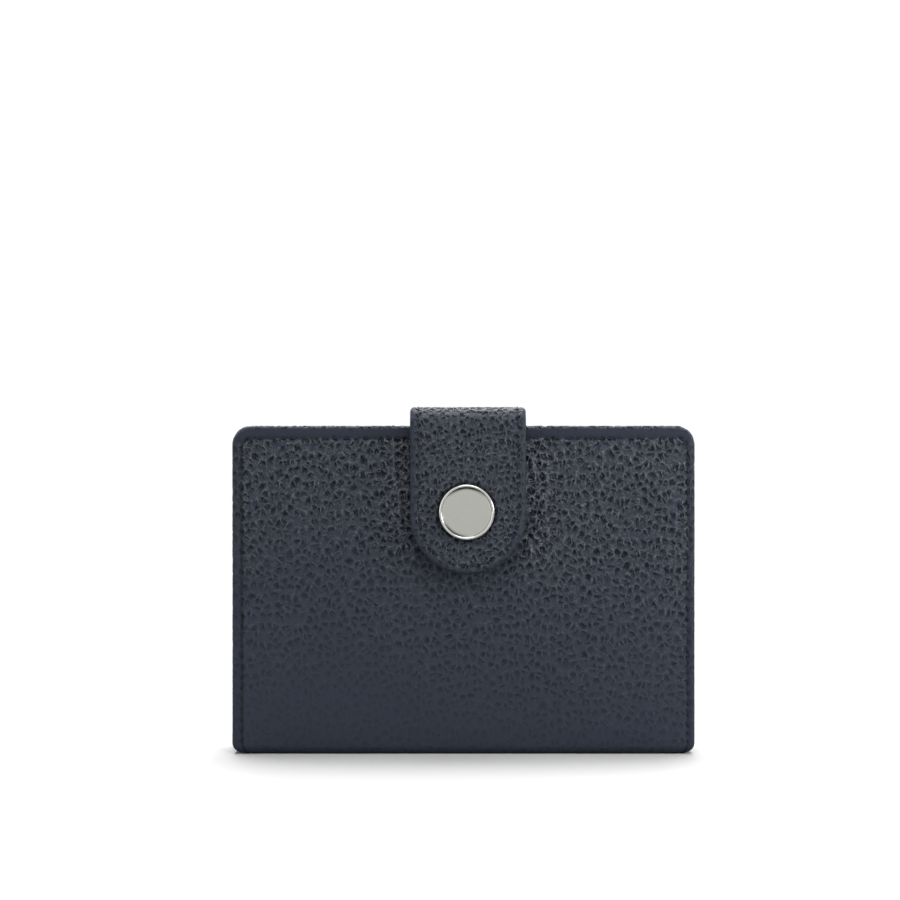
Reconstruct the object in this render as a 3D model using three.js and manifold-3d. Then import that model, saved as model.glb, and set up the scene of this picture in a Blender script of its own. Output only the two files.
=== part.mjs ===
// Card holder with folding pockets, closed by a strap and a snap. Millimetres, +Z up, front faces -Y.
import * as THREE from 'three';
import Module from 'manifold-3d';

const wasm = await Module();
wasm.setup();

// Closed case: one long cover folded round the bottom.
const CASE_WIDTH = 105;
const CASE_HEIGHT = 74.5;
const CASE_DEPTH = 20;
const TOP_CORNER_RADIUS = 4.3;
const BOTTOM_CORNER_RADIUS = 1.7;
const SPINE_RADIUS = 3;
const LEATHER = 1.1;
const BOARD = 0.8;
const LINING = 0.7;
const GLUE_LINE = 0.05;
const FOLD_GAP = 0.35;
const COVER_FOOT = SPINE_RADIUS + FOLD_GAP;
const BOARD_INSET = 2;
const LINING_INSET = 0.9;
const BOARD_FOOT = 4;
const LINING_FOOT = 3.7;
const COVER_STACK = LEATHER + BOARD + LINING + 2 * GLUE_LINE;

// Reinforcement and lining of the folded bottom.
const SPINE_BOARD_HALF_DEPTH = 6.4;
const SPINE_LINING_HALF_DEPTH = 6.8;
const SPINE_LAYER = 0.6;

// Divider leaves and the folded gussets at their sides.
const DIVIDER_COUNT = 5;
const DIVIDER = 0.9;
const DIVIDER_WIDTH = 98.6;
const DIVIDER_FOOT = 3;
const DIVIDER_TOP = 65;
const DIVIDER_CORNER_RADIUS = 3;
const THUMB_NOTCH_WIDTH = 30;
const THUMB_NOTCH_DEPTH = 8;
const NOTCH_STEPS = 64;
const POCKET_PITCH = (CASE_DEPTH - 2 * COVER_STACK) / (DIVIDER_COUNT + 1);
const GUSSET_OUTER_X = 49.2;
const GUSSET_FOLD_X = 44;
const GUSSET_CLOTH = 0.35;
const GUSSET_FOOT = 3.4;
const GUSSET_TOP = 62;

// Closing strap: sewn to the back, over the top, down the front.
const STRAP_WIDTH = 26.2;
const STRAP_X = 1;
const STRAP_TOP = 78.8;
const STRAP_TIP = 40.9;
const STRAP_BASE_FOOT = 43;
const STRAP_BASE_CORNER_RADIUS = 4;
const STRAP_BEND_RADIUS = 4.3;
const STRAP_LEATHER = 1.2;
const STRAP_LINING = 0.8;
const STRAP_STIFFENER = 0.4;
const STRAP_THICKNESS = STRAP_LEATHER + STRAP_LINING + STRAP_STIFFENER + 2 * GLUE_LINE;
const STRAP_CLEARANCE = 1.6;
const STIFFENER_INSET = 2.6;
const STIFFENER_CORNER_RADIUS = 1;
const TIP_EASE = 0.01;
const CUT_MARGIN = 1;
const BEND_SPLIT_GAP = 0.3;
const BEND_STEPS = 6;
const STRAP_FRONT_Y = -CASE_DEPTH / 2 - STRAP_CLEARANCE - STRAP_THICKNESS;
const STRAP_BACK_Y = CASE_DEPTH / 2 + GLUE_LINE + STRAP_THICKNESS;

// Snap fastener: stud on the front cover, socket and cap on the strap.
const SNAP_X = 0.7;
const SNAP_Z = 55;
const SNAP_STEPS = 32;
const CAP_RADIUS = 6.25;
const CAP_HEIGHT = 1.6;
const CAP_DOME = 0.35;
const CAP_POST_RADIUS = 1.2;
const SOCKET_RADIUS = 4.8;
const SOCKET_MOUTH_RADIUS = 2.7;
const SOCKET_CHAMBER_RADIUS = 3.6;
const SOCKET_BACK = 0.4;
const SOCKET_LIP = 0.35;
const SOCKET_DEPTH = 1.95;
const SOCKET_POCKET_RADIUS = 5.1;
const SPRING_RADIUS = 2.95;
const SPRING_WIRE = 0.2;
const WIRE_STEPS = 8;
const STUD_FLANGE_RADIUS = 4.4;
const STUD_FLANGE = 0.5;
const STUD_NECK_RADIUS = 1.55;
const STUD_HEAD_RADIUS = 1.9;
const STUD_HEIGHT = 1.85;
const STUD_HEAD_HEIGHT = 0.75;
const STUD_CROWN = 0.45;
const STUD_CROWN_STEP = 0.2;
const STUD_CROWN_EASE = 0.15;
const STUD_CROWN_INSET = 0.6;
const STUD_BORE_RADIUS = 1.1;
const STUD_BORE_END = 0.5;
const RIVET_RADIUS = 4.3;
const RIVET_FLANGE = 0.4;
const RIVET_POST_RADIUS = 1;
const RIVET_POST_GAP = 0.2;
const RIVET_HOLE_RADIUS = 1.4;
const RIVET_POCKET_RADIUS = 4.7;

const BACK_REACH = STRAP_BACK_Y;
const FRONT_REACH = STRAP_FRONT_Y - GLUE_LINE - CAP_HEIGHT;
const CENTRE_SHIFT = -(BACK_REACH + FRONT_REACH) / 2;

const holder = new THREE.Group();
holder.name = 'card_holder';

/** Turn a geometry into a solid for cutting and joining. */
function toSolid(geometry) {
  const merged = new Map();
  const points = [];
  const corners = [];
  const position = geometry.getAttribute('position');
  const index = geometry.getIndex();
  const count = index ? index.count : position.count;
  for (let i = 0; i < count; i += 1) {
    const at = index ? index.getX(i) : i;
    const point = [position.getX(at), position.getY(at), position.getZ(at)];
    const key = point.map((value) => Math.round(value * 1e4)).join();
    if (!merged.has(key)) {
      merged.set(key, points.length / 3);
      points.push(...point);
    }
    corners.push(merged.get(key));
  }
  const faces = [];
  for (let i = 0; i < corners.length; i += 3) {
    const [a, b, c] = corners.slice(i, i + 3);
    if (a !== b && b !== c && c !== a) faces.push(a, b, c);
  }
  const mesh = new wasm.Mesh({
    numProp: 3,
    vertProperties: new Float32Array(points),
    triVerts: new Uint32Array(faces),
  });
  return new wasm.Manifold(mesh);
}

/** Turn a solid back into a geometry. */
function toGeometry(solid) {
  const mesh = solid.getMesh();
  const geometry = new THREE.BufferGeometry();
  geometry.setAttribute('position', new THREE.BufferAttribute(new Float32Array(mesh.vertProperties), 3));
  geometry.setIndex(new THREE.BufferAttribute(new Uint32Array(mesh.triVerts), 1));
  return geometry;
}

/** Add one named piece to the holder. */
function addPiece(name, solid, colour, metalness, roughness) {
  const geometry = toGeometry(solid);
  geometry.translate(0, CENTRE_SHIFT, 0);
  geometry.computeVertexNormals();
  const material = new THREE.MeshStandardMaterial({ color: colour, metalness, roughness });
  const mesh = new THREE.Mesh(geometry, material);
  mesh.name = name;
  holder.add(mesh);
}

const addLeather = (name, solid) => addPiece(name, solid, 0x39404a, 0, 0.6);
const addLining = (name, solid) => addPiece(name, solid, 0x23272f, 0, 0.8);
const addBoard = (name, solid) => addPiece(name, solid, 0x8a8173, 0, 0.9);
const addMetal = (name, solid) => addPiece(name, solid, 0xb4b4ae, 1, 0.35);

/** Outline seen from the front, with its own top and bottom corner radii. */
function frontOutline(halfWidth, foot, top, topRadius, footRadius) {
  const shape = new THREE.Shape();
  shape.moveTo(-halfWidth + footRadius, foot);
  shape.lineTo(halfWidth - footRadius, foot);
  if (footRadius > 0) shape.absarc(halfWidth - footRadius, foot + footRadius, footRadius, -Math.PI / 2, 0);
  shape.lineTo(halfWidth, top - topRadius);
  shape.absarc(halfWidth - topRadius, top - topRadius, topRadius, 0, Math.PI / 2);
  shape.lineTo(-halfWidth + topRadius, top);
  shape.absarc(-halfWidth + topRadius, top - topRadius, topRadius, Math.PI / 2, Math.PI);
  shape.lineTo(-halfWidth, foot + footRadius);
  if (footRadius > 0) {
    shape.absarc(-halfWidth + footRadius, foot + footRadius, footRadius, Math.PI, 1.5 * Math.PI);
  }
  return shape;
}

/** Plate from a front outline, between two depths. */
function plate(shape, frontY, backY, centreX = 0) {
  const geometry = new THREE.ExtrudeGeometry(shape, {
    depth: backY - frontY,
    bevelEnabled: false,
    curveSegments: BEND_STEPS,
  });
  geometry.rotateX(Math.PI / 2);
  geometry.translate(centreX, backY, 0);
  return toSolid(geometry);
}

/** Bar with one side outline (depth, height), running across the holder. */
function crossBar(outline, width, centreX) {
  const shape = new THREE.Shape(outline);
  const geometry = new THREE.ExtrudeGeometry(shape, { depth: width, bevelEnabled: false });
  geometry.rotateY(Math.PI / 2);
  geometry.rotateX(Math.PI / 2);
  geometry.translate(centreX - width / 2, 0, 0);
  return toSolid(geometry);
}

/** Turned piece from its half outline (radius, depth), at the snap. */
function turned(outline) {
  const points = outline.map(([radius, depth]) => new THREE.Vector2(radius, depth));
  const geometry = new THREE.LatheGeometry(points, SNAP_STEPS);
  geometry.translate(SNAP_X, 0, SNAP_Z);
  return toSolid(geometry);
}

/** Plain round plug at the snap, for cutting holes. */
function plug(radius, frontY, backY) {
  return turned([[0, frontY], [radius, frontY], [radius, backY], [0, backY]]);
}

/** Points along an arc in the side view. */
function arcPoints(centreY, centreZ, radius, fromDegrees, toDegrees) {
  const curve = new THREE.EllipseCurve(
    centreY,
    centreZ,
    radius,
    radius,
    THREE.MathUtils.degToRad(fromDegrees),
    THREE.MathUtils.degToRad(toDegrees),
    toDegrees < fromDegrees,
  );
  return curve.getPoints(BEND_STEPS);
}

/** Front cover stack, measured from the outer face inwards. */
function coverLayer(halfWidth, foot, top, radius, outerOffset, thickness) {
  const outerY = -CASE_DEPTH / 2 + outerOffset;
  return plate(frontOutline(halfWidth, foot, top, radius, 0), outerY, outerY + thickness);
}

/** Mirror a solid front to back. */
function toBack(solid) {
  return solid.mirror([0, 1, 0]);
}

function coverLeather() {
  return coverLayer(CASE_WIDTH / 2, COVER_FOOT, CASE_HEIGHT, TOP_CORNER_RADIUS, 0, LEATHER);
}

function coverBoard() {
  const halfWidth = CASE_WIDTH / 2 - BOARD_INSET;
  const top = CASE_HEIGHT - BOARD_INSET;
  const radius = TOP_CORNER_RADIUS - BOARD_INSET;
  return coverLayer(halfWidth, BOARD_FOOT, top, radius, LEATHER + GLUE_LINE, BOARD);
}

function coverLining() {
  const halfWidth = CASE_WIDTH / 2 - LINING_INSET;
  const top = CASE_HEIGHT - LINING_INSET;
  const radius = TOP_CORNER_RADIUS - LINING_INSET;
  return coverLayer(halfWidth, LINING_FOOT, top, radius, COVER_STACK - LINING, LINING);
}

function spineLeather() {
  const half = CASE_DEPTH / 2;
  const flat = half - SPINE_RADIUS;
  const inner = SPINE_RADIUS - LEATHER;
  const outline = [
    ...arcPoints(-flat, SPINE_RADIUS, SPINE_RADIUS, 180, 270),
    ...arcPoints(flat, SPINE_RADIUS, SPINE_RADIUS, 270, 360),
    ...arcPoints(flat, SPINE_RADIUS, inner, 360, 270),
    ...arcPoints(-flat, SPINE_RADIUS, inner, 270, 180),
  ];
  const silhouette = frontOutline(CASE_WIDTH / 2, 0, CASE_HEIGHT, TOP_CORNER_RADIUS, BOTTOM_CORNER_RADIUS);
  return crossBar(outline, CASE_WIDTH, 0).intersect(plate(silhouette, -CASE_DEPTH, CASE_DEPTH));
}

function spineLayer(halfDepth, foot, inset) {
  const outline = [
    new THREE.Vector2(-halfDepth, foot),
    new THREE.Vector2(halfDepth, foot),
    new THREE.Vector2(halfDepth, foot + SPINE_LAYER),
    new THREE.Vector2(-halfDepth, foot + SPINE_LAYER),
  ];
  return crossBar(outline, CASE_WIDTH - 2 * inset, 0);
}

/** Depth of the middle of a divider, counted from the back cover. */
function dividerY(number) {
  return CASE_DEPTH / 2 - COVER_STACK - number * POCKET_PITCH;
}

function divider(number) {
  const half = DIVIDER_WIDTH / 2;
  const blank = frontOutline(half, DIVIDER_FOOT, DIVIDER_TOP, DIVIDER_CORNER_RADIUS, 0);
  const middle = dividerY(number);
  const sheet = plate(blank, middle - DIVIDER / 2, middle + DIVIDER / 2);
  const halfNotch = THUMB_NOTCH_WIDTH / 2;
  const notchRadius = (halfNotch ** 2 + THUMB_NOTCH_DEPTH ** 2) / (2 * THUMB_NOTCH_DEPTH);
  const cutter = new THREE.CylinderGeometry(notchRadius, notchRadius, 2 * DIVIDER, NOTCH_STEPS);
  cutter.translate(0, middle, DIVIDER_TOP - THUMB_NOTCH_DEPTH + notchRadius);
  return sheet.subtract(toSolid(cutter));
}

/** V-shaped fold closing one side of a pocket; side is -1 for left and 1 for right. */
function gusset(number, side) {
  const thickness = number === 1 ? 0 : DIVIDER / 2;
  const backFace = dividerY(number - 1) - thickness;
  const frontThickness = number === DIVIDER_COUNT + 1 ? 0 : DIVIDER / 2;
  const frontFace = dividerY(number) + frontThickness;
  const middle = (backFace + frontFace) / 2;
  const half = (backFace - frontFace) / 2 - GLUE_LINE;
  const insideFold = GUSSET_FOLD_X + ((GUSSET_OUTER_X - GUSSET_FOLD_X) * GUSSET_CLOTH) / half;
  const outline = [
    new THREE.Vector2(GUSSET_OUTER_X, middle - half),
    new THREE.Vector2(GUSSET_OUTER_X, middle - half + GUSSET_CLOTH),
    new THREE.Vector2(insideFold, middle),
    new THREE.Vector2(GUSSET_OUTER_X, middle + half - GUSSET_CLOTH),
    new THREE.Vector2(GUSSET_OUTER_X, middle + half),
    new THREE.Vector2(GUSSET_FOLD_X, middle),
  ];
  const height = GUSSET_TOP - GUSSET_FOOT;
  const geometry = new THREE.ExtrudeGeometry(new THREE.Shape(outline), { depth: height, bevelEnabled: false });
  geometry.translate(0, 0, GUSSET_FOOT);
  const right = toSolid(geometry);
  return side > 0 ? right : right.mirror([1, 0, 0]);
}

const STRAP_ARCH_Z = STRAP_TOP - STRAP_BEND_RADIUS;
const FRONT_BEND_Y = STRAP_FRONT_Y + STRAP_BEND_RADIUS;
const BACK_BEND_Y = STRAP_BACK_Y - STRAP_BEND_RADIUS;
const HALF_SPLIT_DEGREES = THREE.MathUtils.radToDeg(BEND_SPLIT_GAP / 2 / (STRAP_BEND_RADIUS - STRAP_THICKNESS));

/** Side outline of one strap layer on the back: straight, then half of the back bend. */
function baseOutline(outer, thickness, foot) {
  const radius = STRAP_BEND_RADIUS - outer;
  const cut = 45 - HALF_SPLIT_DEGREES;
  return [
    new THREE.Vector2(STRAP_BACK_Y - outer, foot),
    ...arcPoints(BACK_BEND_Y, STRAP_ARCH_Z, radius, 0, cut),
    ...arcPoints(BACK_BEND_Y, STRAP_ARCH_Z, radius - thickness, cut, 0),
    new THREE.Vector2(STRAP_BACK_Y - outer - thickness, foot),
  ];
}

/** Side outline of one strap layer over the top, from bend to bend. */
function bridgeOutline(outer, thickness) {
  const radius = STRAP_BEND_RADIUS - outer;
  const backCut = 45 + HALF_SPLIT_DEGREES;
  const frontCut = 135 - HALF_SPLIT_DEGREES;
  return [
    ...arcPoints(BACK_BEND_Y, STRAP_ARCH_Z, radius, backCut, 90),
    ...arcPoints(FRONT_BEND_Y, STRAP_ARCH_Z, radius, 90, frontCut),
    ...arcPoints(FRONT_BEND_Y, STRAP_ARCH_Z, radius - thickness, frontCut, 90),
    ...arcPoints(BACK_BEND_Y, STRAP_ARCH_Z, radius - thickness, 90, backCut),
  ];
}

/** Side outline of one strap layer down the front, from half of the front bend. */
function flapOutline(outer, thickness) {
  const radius = STRAP_BEND_RADIUS - outer;
  const cut = 135 + HALF_SPLIT_DEGREES;
  return [
    ...arcPoints(FRONT_BEND_Y, STRAP_ARCH_Z, radius, cut, 180),
    new THREE.Vector2(STRAP_FRONT_Y + outer, STRAP_TIP),
    new THREE.Vector2(STRAP_FRONT_Y + outer + thickness, STRAP_TIP),
    ...arcPoints(FRONT_BEND_Y, STRAP_ARCH_Z, radius - thickness, 180, cut),
  ];
}

/** Front-view outline of the whole strap, with its round tip. */
function strapSilhouette() {
  const half = STRAP_WIDTH / 2;
  const shape = frontOutline(half, STRAP_TIP, STRAP_TOP + CUT_MARGIN, CUT_MARGIN, half - TIP_EASE);
  return plate(shape, -CASE_DEPTH, CASE_DEPTH, STRAP_X);
}

function strapBase(outer, thickness) {
  const bar = crossBar(baseOutline(outer, thickness, STRAP_BASE_FOOT), STRAP_WIDTH, STRAP_X);
  const half = STRAP_WIDTH / 2;
  const top = STRAP_TOP + CUT_MARGIN;
  const shape = frontOutline(half, STRAP_BASE_FOOT, top, CUT_MARGIN, STRAP_BASE_CORNER_RADIUS);
  return bar.intersect(plate(shape, 0, CASE_DEPTH, STRAP_X));
}

function strapBridge(outer, thickness) {
  return crossBar(bridgeOutline(outer, thickness), STRAP_WIDTH, STRAP_X);
}

function strapFlap(outer, thickness) {
  return crossBar(flapOutline(outer, thickness), STRAP_WIDTH, STRAP_X).intersect(strapSilhouette());
}

/** Cap with a domed face, turned edge and hollow post, worn on the front of the strap. */
function snapCap() {
  const seat = STRAP_FRONT_Y - GLUE_LINE;
  const face = seat - CAP_HEIGHT;
  const postEnd = STRAP_FRONT_Y + STRAP_LEATHER;
  return turned([
    [0, face],
    [CAP_RADIUS - CAP_DOME, face],
    [CAP_RADIUS, face + CAP_DOME],
    [CAP_RADIUS, seat],
    [CAP_POST_RADIUS, seat],
    [CAP_POST_RADIUS, postEnd],
    [0, postEnd],
  ]);
}

const SOCKET_FLOOR_Y = STRAP_FRONT_Y + STRAP_LEATHER + 2 * GLUE_LINE;

/** Socket cup with an inner lip, open towards the front cover. */
function snapSocket() {
  const mouth = SOCKET_FLOOR_Y + SOCKET_DEPTH;
  return turned([
    [0, SOCKET_FLOOR_Y],
    [SOCKET_RADIUS, SOCKET_FLOOR_Y],
    [SOCKET_RADIUS, mouth],
    [SOCKET_MOUTH_RADIUS, mouth],
    [SOCKET_MOUTH_RADIUS, mouth - SOCKET_LIP],
    [SOCKET_CHAMBER_RADIUS, mouth - SOCKET_LIP],
    [SOCKET_CHAMBER_RADIUS, SOCKET_FLOOR_Y + SOCKET_BACK],
    [0, SOCKET_FLOOR_Y + SOCKET_BACK],
  ]);
}

/** Open ring of wire inside the socket. */
function snapSpring() {
  const ring = new THREE.TorusGeometry(SPRING_RADIUS, SPRING_WIRE, WIRE_STEPS, SNAP_STEPS);
  ring.rotateX(Math.PI / 2);
  ring.translate(SNAP_X, SOCKET_FLOOR_Y + SOCKET_DEPTH - SOCKET_LIP - 2 * SPRING_WIRE, SNAP_Z);
  const half = SPRING_RADIUS / 2;
  const opening = new THREE.BoxGeometry(half, CASE_DEPTH, SPRING_RADIUS);
  opening.translate(SNAP_X, STRAP_FRONT_Y, SNAP_Z - SPRING_RADIUS);
  return toSolid(ring).subtract(toSolid(opening));
}

/** Stud with a flange, neck, rounded head and blind bore. */
function snapStud() {
  const seat = -CASE_DEPTH / 2 - GLUE_LINE;
  const flange = seat - STUD_FLANGE;
  const tip = seat - STUD_HEIGHT;
  const headBack = tip + STUD_HEAD_HEIGHT;
  return turned([
    [0, tip],
    [STUD_HEAD_RADIUS - STUD_CROWN_INSET, tip],
    [STUD_HEAD_RADIUS - STUD_CROWN_EASE, tip + STUD_CROWN_STEP],
    [STUD_HEAD_RADIUS, tip + STUD_CROWN],
    [STUD_NECK_RADIUS, headBack],
    [STUD_NECK_RADIUS, flange],
    [STUD_FLANGE_RADIUS, flange],
    [STUD_FLANGE_RADIUS, seat],
    [STUD_BORE_RADIUS, seat],
    [STUD_BORE_RADIUS, tip + STUD_BORE_END],
    [0, tip + STUD_BORE_END],
  ]);
}

/** Rivet behind the front leather, its post reaching into the stud. */
function snapRivet() {
  const flangeFront = -CASE_DEPTH / 2 + LEATHER + GLUE_LINE;
  const flangeBack = flangeFront + RIVET_FLANGE;
  const postEnd = -CASE_DEPTH / 2 - STUD_HEIGHT + STUD_BORE_END + RIVET_POST_GAP;
  return turned([
    [0, postEnd],
    [RIVET_POST_RADIUS, postEnd],
    [RIVET_POST_RADIUS, flangeFront],
    [RIVET_RADIUS, flangeFront],
    [RIVET_RADIUS, flangeBack],
    [0, flangeBack],
  ]);
}

function addCase() {
  const half = CASE_DEPTH / 2;
  addLeather('back_cover_leather', toBack(coverLeather()));
  addBoard('back_cover_board', toBack(coverBoard()));
  addLining('back_cover_lining', toBack(coverLining()));
  addLeather('spine_leather', spineLeather());
  addBoard('spine_board', spineLayer(SPINE_BOARD_HALF_DEPTH, LEATHER + GLUE_LINE, BOARD_INSET));
  const liningFoot = LEATHER + SPINE_LAYER + 2 * GLUE_LINE;
  addLining('spine_lining', spineLayer(SPINE_LINING_HALF_DEPTH, liningFoot, LINING_INSET));
  const holeReach = [-half - LEATHER, -half + COVER_STACK];
  addLeather('front_cover_leather', coverLeather().subtract(plug(RIVET_HOLE_RADIUS, ...holeReach)));
  addBoard('front_cover_board', coverBoard().subtract(plug(RIVET_POCKET_RADIUS, ...holeReach)));
  addLining('front_cover_lining', coverLining());
}

function addPockets() {
  for (let number = 1; number <= DIVIDER_COUNT; number += 1) {
    addLining(`divider_${number}`, divider(number));
  }
  for (let number = 1; number <= DIVIDER_COUNT + 1; number += 1) {
    addLining(`gusset_left_${number}`, gusset(number, -1));
    addLining(`gusset_right_${number}`, gusset(number, 1));
  }
}

function addStrap() {
  const liningOuter = STRAP_THICKNESS - STRAP_LINING;
  const strapInner = STRAP_FRONT_Y + STRAP_THICKNESS;
  const postHole = plug(CAP_POST_RADIUS + GLUE_LINE, STRAP_FRONT_Y - CUT_MARGIN, strapInner);
  const socketHole = plug(SOCKET_POCKET_RADIUS, STRAP_FRONT_Y, strapInner + CUT_MARGIN);
  addLeather('strap_base_leather', strapBase(0, STRAP_LEATHER));
  addLining('strap_base_lining', strapBase(liningOuter, STRAP_LINING));
  addLeather('strap_bridge_leather', strapBridge(0, STRAP_LEATHER));
  addLining('strap_bridge_lining', strapBridge(liningOuter, STRAP_LINING));
  addLeather('strap_flap_leather', strapFlap(0, STRAP_LEATHER).subtract(postHole));
  addLining('strap_flap_lining', strapFlap(liningOuter, STRAP_LINING).subtract(socketHole));
  addBoard('strap_flap_stiffener', strapStiffener().subtract(socketHole));
}

/** Thin stiffener between the strap's leather and lining. */
function strapStiffener() {
  const half = STRAP_WIDTH / 2 - STIFFENER_INSET;
  const top = STRAP_ARCH_Z - GLUE_LINE;
  const foot = STRAP_TIP + STIFFENER_INSET;
  const shape = frontOutline(half, foot, top, STIFFENER_CORNER_RADIUS, half - TIP_EASE);
  const front = STRAP_FRONT_Y + STRAP_LEATHER + GLUE_LINE;
  return plate(shape, front, front + STRAP_STIFFENER, STRAP_X);
}

function addSnap() {
  addMetal('snap_cap', snapCap());
  addMetal('snap_socket', snapSocket());
  addMetal('snap_spring', snapSpring());
  addMetal('snap_stud', snapStud());
  addMetal('snap_stud_rivet', snapRivet());
}

addCase();
addPockets();
addStrap();
addSnap();

export default holder;
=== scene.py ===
"""Card holder: a leather case with fanning pockets, closed by a strap and a snap.

The scene is in metres, with the front facing -Y. Sizes in the classes are in millimetres.
"""

import logging
import math
from dataclasses import dataclass, field
from enum import Enum
from typing import Any, Callable, Union

import bmesh
import bpy
import numpy as np
from mathutils import Matrix, Vector


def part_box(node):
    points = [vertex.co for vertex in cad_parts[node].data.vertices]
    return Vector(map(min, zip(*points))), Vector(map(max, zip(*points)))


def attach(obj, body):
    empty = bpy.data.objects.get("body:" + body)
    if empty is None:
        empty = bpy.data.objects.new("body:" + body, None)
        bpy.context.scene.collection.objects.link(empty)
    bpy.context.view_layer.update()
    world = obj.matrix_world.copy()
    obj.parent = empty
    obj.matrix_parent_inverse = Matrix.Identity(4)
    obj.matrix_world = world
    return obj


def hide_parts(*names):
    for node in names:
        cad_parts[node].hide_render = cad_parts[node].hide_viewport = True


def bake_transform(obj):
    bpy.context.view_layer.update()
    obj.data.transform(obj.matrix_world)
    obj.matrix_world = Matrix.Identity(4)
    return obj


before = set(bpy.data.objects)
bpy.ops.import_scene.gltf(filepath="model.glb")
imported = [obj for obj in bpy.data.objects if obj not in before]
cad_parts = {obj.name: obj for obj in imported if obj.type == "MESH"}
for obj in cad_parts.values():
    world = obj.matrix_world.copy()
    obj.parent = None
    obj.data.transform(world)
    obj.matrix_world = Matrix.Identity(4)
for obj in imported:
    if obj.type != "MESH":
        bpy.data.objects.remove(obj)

MM = 0.001
FLAT = "flat"
GRAIN = "grain"
SHADE = "shade"
WELD = 2e-6
SHARP = 50.0
log = logging.getLogger("card_holder")

Number = Union["Wire", float]
Colour = tuple[float, float, float, float]
Span = tuple[float, float]
Curve = Callable[[np.ndarray], np.ndarray]
Field = Callable[[np.ndarray, np.ndarray, np.ndarray], np.ndarray]


class Body(Enum):
    """The rigid bodies that pieces ride on."""

    CASE = "case"
    COVER = "front_cover"
    BRIDGE = "strap_bridge"
    FLAP = "strap_flap"


class Wire:
    """An output socket whose arithmetic adds the nodes it needs."""

    def __init__(self, bench: "Bench", socket: bpy.types.NodeSocket) -> None:
        """Hold the socket and the bench it belongs to."""
        self.bench = bench
        self.socket = socket

    def __add__(self, other: Number) -> "Wire":
        """Sum."""
        return self.bench.math("ADD", self, other)

    def __radd__(self, other: Number) -> "Wire":
        """Sum, from the right."""
        return self.bench.math("ADD", other, self)

    def __sub__(self, other: Number) -> "Wire":
        """Difference."""
        return self.bench.math("SUBTRACT", self, other)

    def __rsub__(self, other: Number) -> "Wire":
        """Difference, from the right."""
        return self.bench.math("SUBTRACT", other, self)

    def __mul__(self, other: Number) -> "Wire":
        """Product."""
        return self.bench.math("MULTIPLY", self, other)

    def __rmul__(self, other: Number) -> "Wire":
        """Product, from the right."""
        return self.bench.math("MULTIPLY", other, self)

    def larger(self, other: Number) -> "Wire":
        """The larger of two values."""
        return self.bench.math("MAXIMUM", self, other)

    def step(self, low: float, high: float) -> "Wire":
        """Smooth step from 0 at low to 1 at high."""
        inputs = {"Value": self, "From Min": low, "From Max": high}
        return self.bench.out("ShaderNodeMapRange", {"interpolation_type": "SMOOTHSTEP"}, inputs)


class Bench:
    """Builds one node tree, for a material or for shaping a mesh."""

    def __init__(self, tree: bpy.types.NodeTree) -> None:
        """Start on an empty tree."""
        self.tree = tree

    def node(
        self,
        kind: str,
        settings: dict[str, Any] | None = None,
        inputs: dict[str | int, Any] | None = None,
    ) -> bpy.types.Node:
        """Add a node.

        Args:
            kind: the node's type.
            settings: its properties, set first.
            inputs: values or wires, by socket name or number.

        Returns:
            The new node.
        """
        made = self.tree.nodes.new(kind)
        for name, value in (settings or {}).items():
            setattr(made, name, value)
        for name, value in (inputs or {}).items():
            if isinstance(value, Wire):
                self.tree.links.new(value.socket, made.inputs[name])
            else:
                made.inputs[name].default_value = value
        return made

    def out(
        self,
        kind: str,
        settings: dict[str, Any] | None = None,
        inputs: dict[str | int, Any] | None = None,
        socket: str | int = 0,
    ) -> Wire:
        """Add a node and give one of its outputs.

        Args:
            kind: the node's type.
            settings: its properties.
            inputs: values or wires for its sockets.
            socket: the output wanted.

        Returns:
            That output as a wire.
        """
        return Wire(self, self.node(kind, settings, inputs).outputs[socket])

    def math(self, operation: str, first: Number, second: Number) -> Wire:
        """One step of arithmetic on two values."""
        return self.out("ShaderNodeMath", {"operation": operation}, {0: first, 1: second})

    def vector(self, operation: str, first: Any, second: Any) -> Wire:
        """One step of arithmetic on two vectors."""
        return self.out("ShaderNodeVectorMath", {"operation": operation}, {0: first, 1: second})

    def blend(self, factor: Number, first: Any, second: Any) -> Wire:
        """Mix two colours by a factor."""
        settings = {"data_type": "RGBA"}
        return self.out("ShaderNodeMix", settings, {0: factor, 6: first, 7: second}, 2)

    def noise(self, place: Wire, scale: float, detail: float = 2.0, socket: str | int = 0) -> Wire:
        """Cloudy noise at a place, in cycles per unit."""
        inputs = {"Vector": place, "Scale": scale, "Detail": detail}
        return self.out("ShaderNodeTexNoise", {"noise_dimensions": "3D"}, inputs, socket)

    def part(self, vector: Wire, number: int) -> Wire:
        """One component of a vector or colour."""
        return self.out("ShaderNodeSeparateXYZ", None, {0: vector}, number)

    def net(self, place: Wire, scale: float, feature: str) -> tuple[str, dict[str, Any], dict[str, Any]]:
        """Type, settings and inputs of a cell pattern."""
        settings = {"feature": feature, "voronoi_dimensions": "2D"}
        return "ShaderNodeTexVoronoi", settings, {"Vector": place, "Scale": scale}

    def cells(self, place: Wire, scale: float) -> Wire:
        """Distance to the nearest wall of a cell pattern."""
        return self.out(*self.net(place, scale, "DISTANCE_TO_EDGE"), "Distance")


class Finish:
    """A material made of nodes."""

    name = "finish"
    slot = ""

    def material(self) -> bpy.types.Material:
        """Make the material once, and then share it.

        Returns:
            The material.
        """
        known = bpy.data.materials.get(self.name)
        if known:
            return known
        made = bpy.data.materials.new(self.name)
        made.use_nodes = True
        made.node_tree.nodes.clear()
        bench = Bench(made.node_tree)
        shader = self.shader(bench)
        bench.node("ShaderNodeOutputMaterial", inputs={"Surface": shader})
        return made

    def shader(self, bench: Bench) -> Wire:
        """The surface shader; each finish has its own."""
        raise NotImplementedError

    def dress(self, piece: bpy.types.Object) -> None:
        """Give a piece this finish.

        Args:
            piece: the piece to dress.
        """
        piece.data.materials.clear()
        piece.data.materials.append(self.material())


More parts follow.
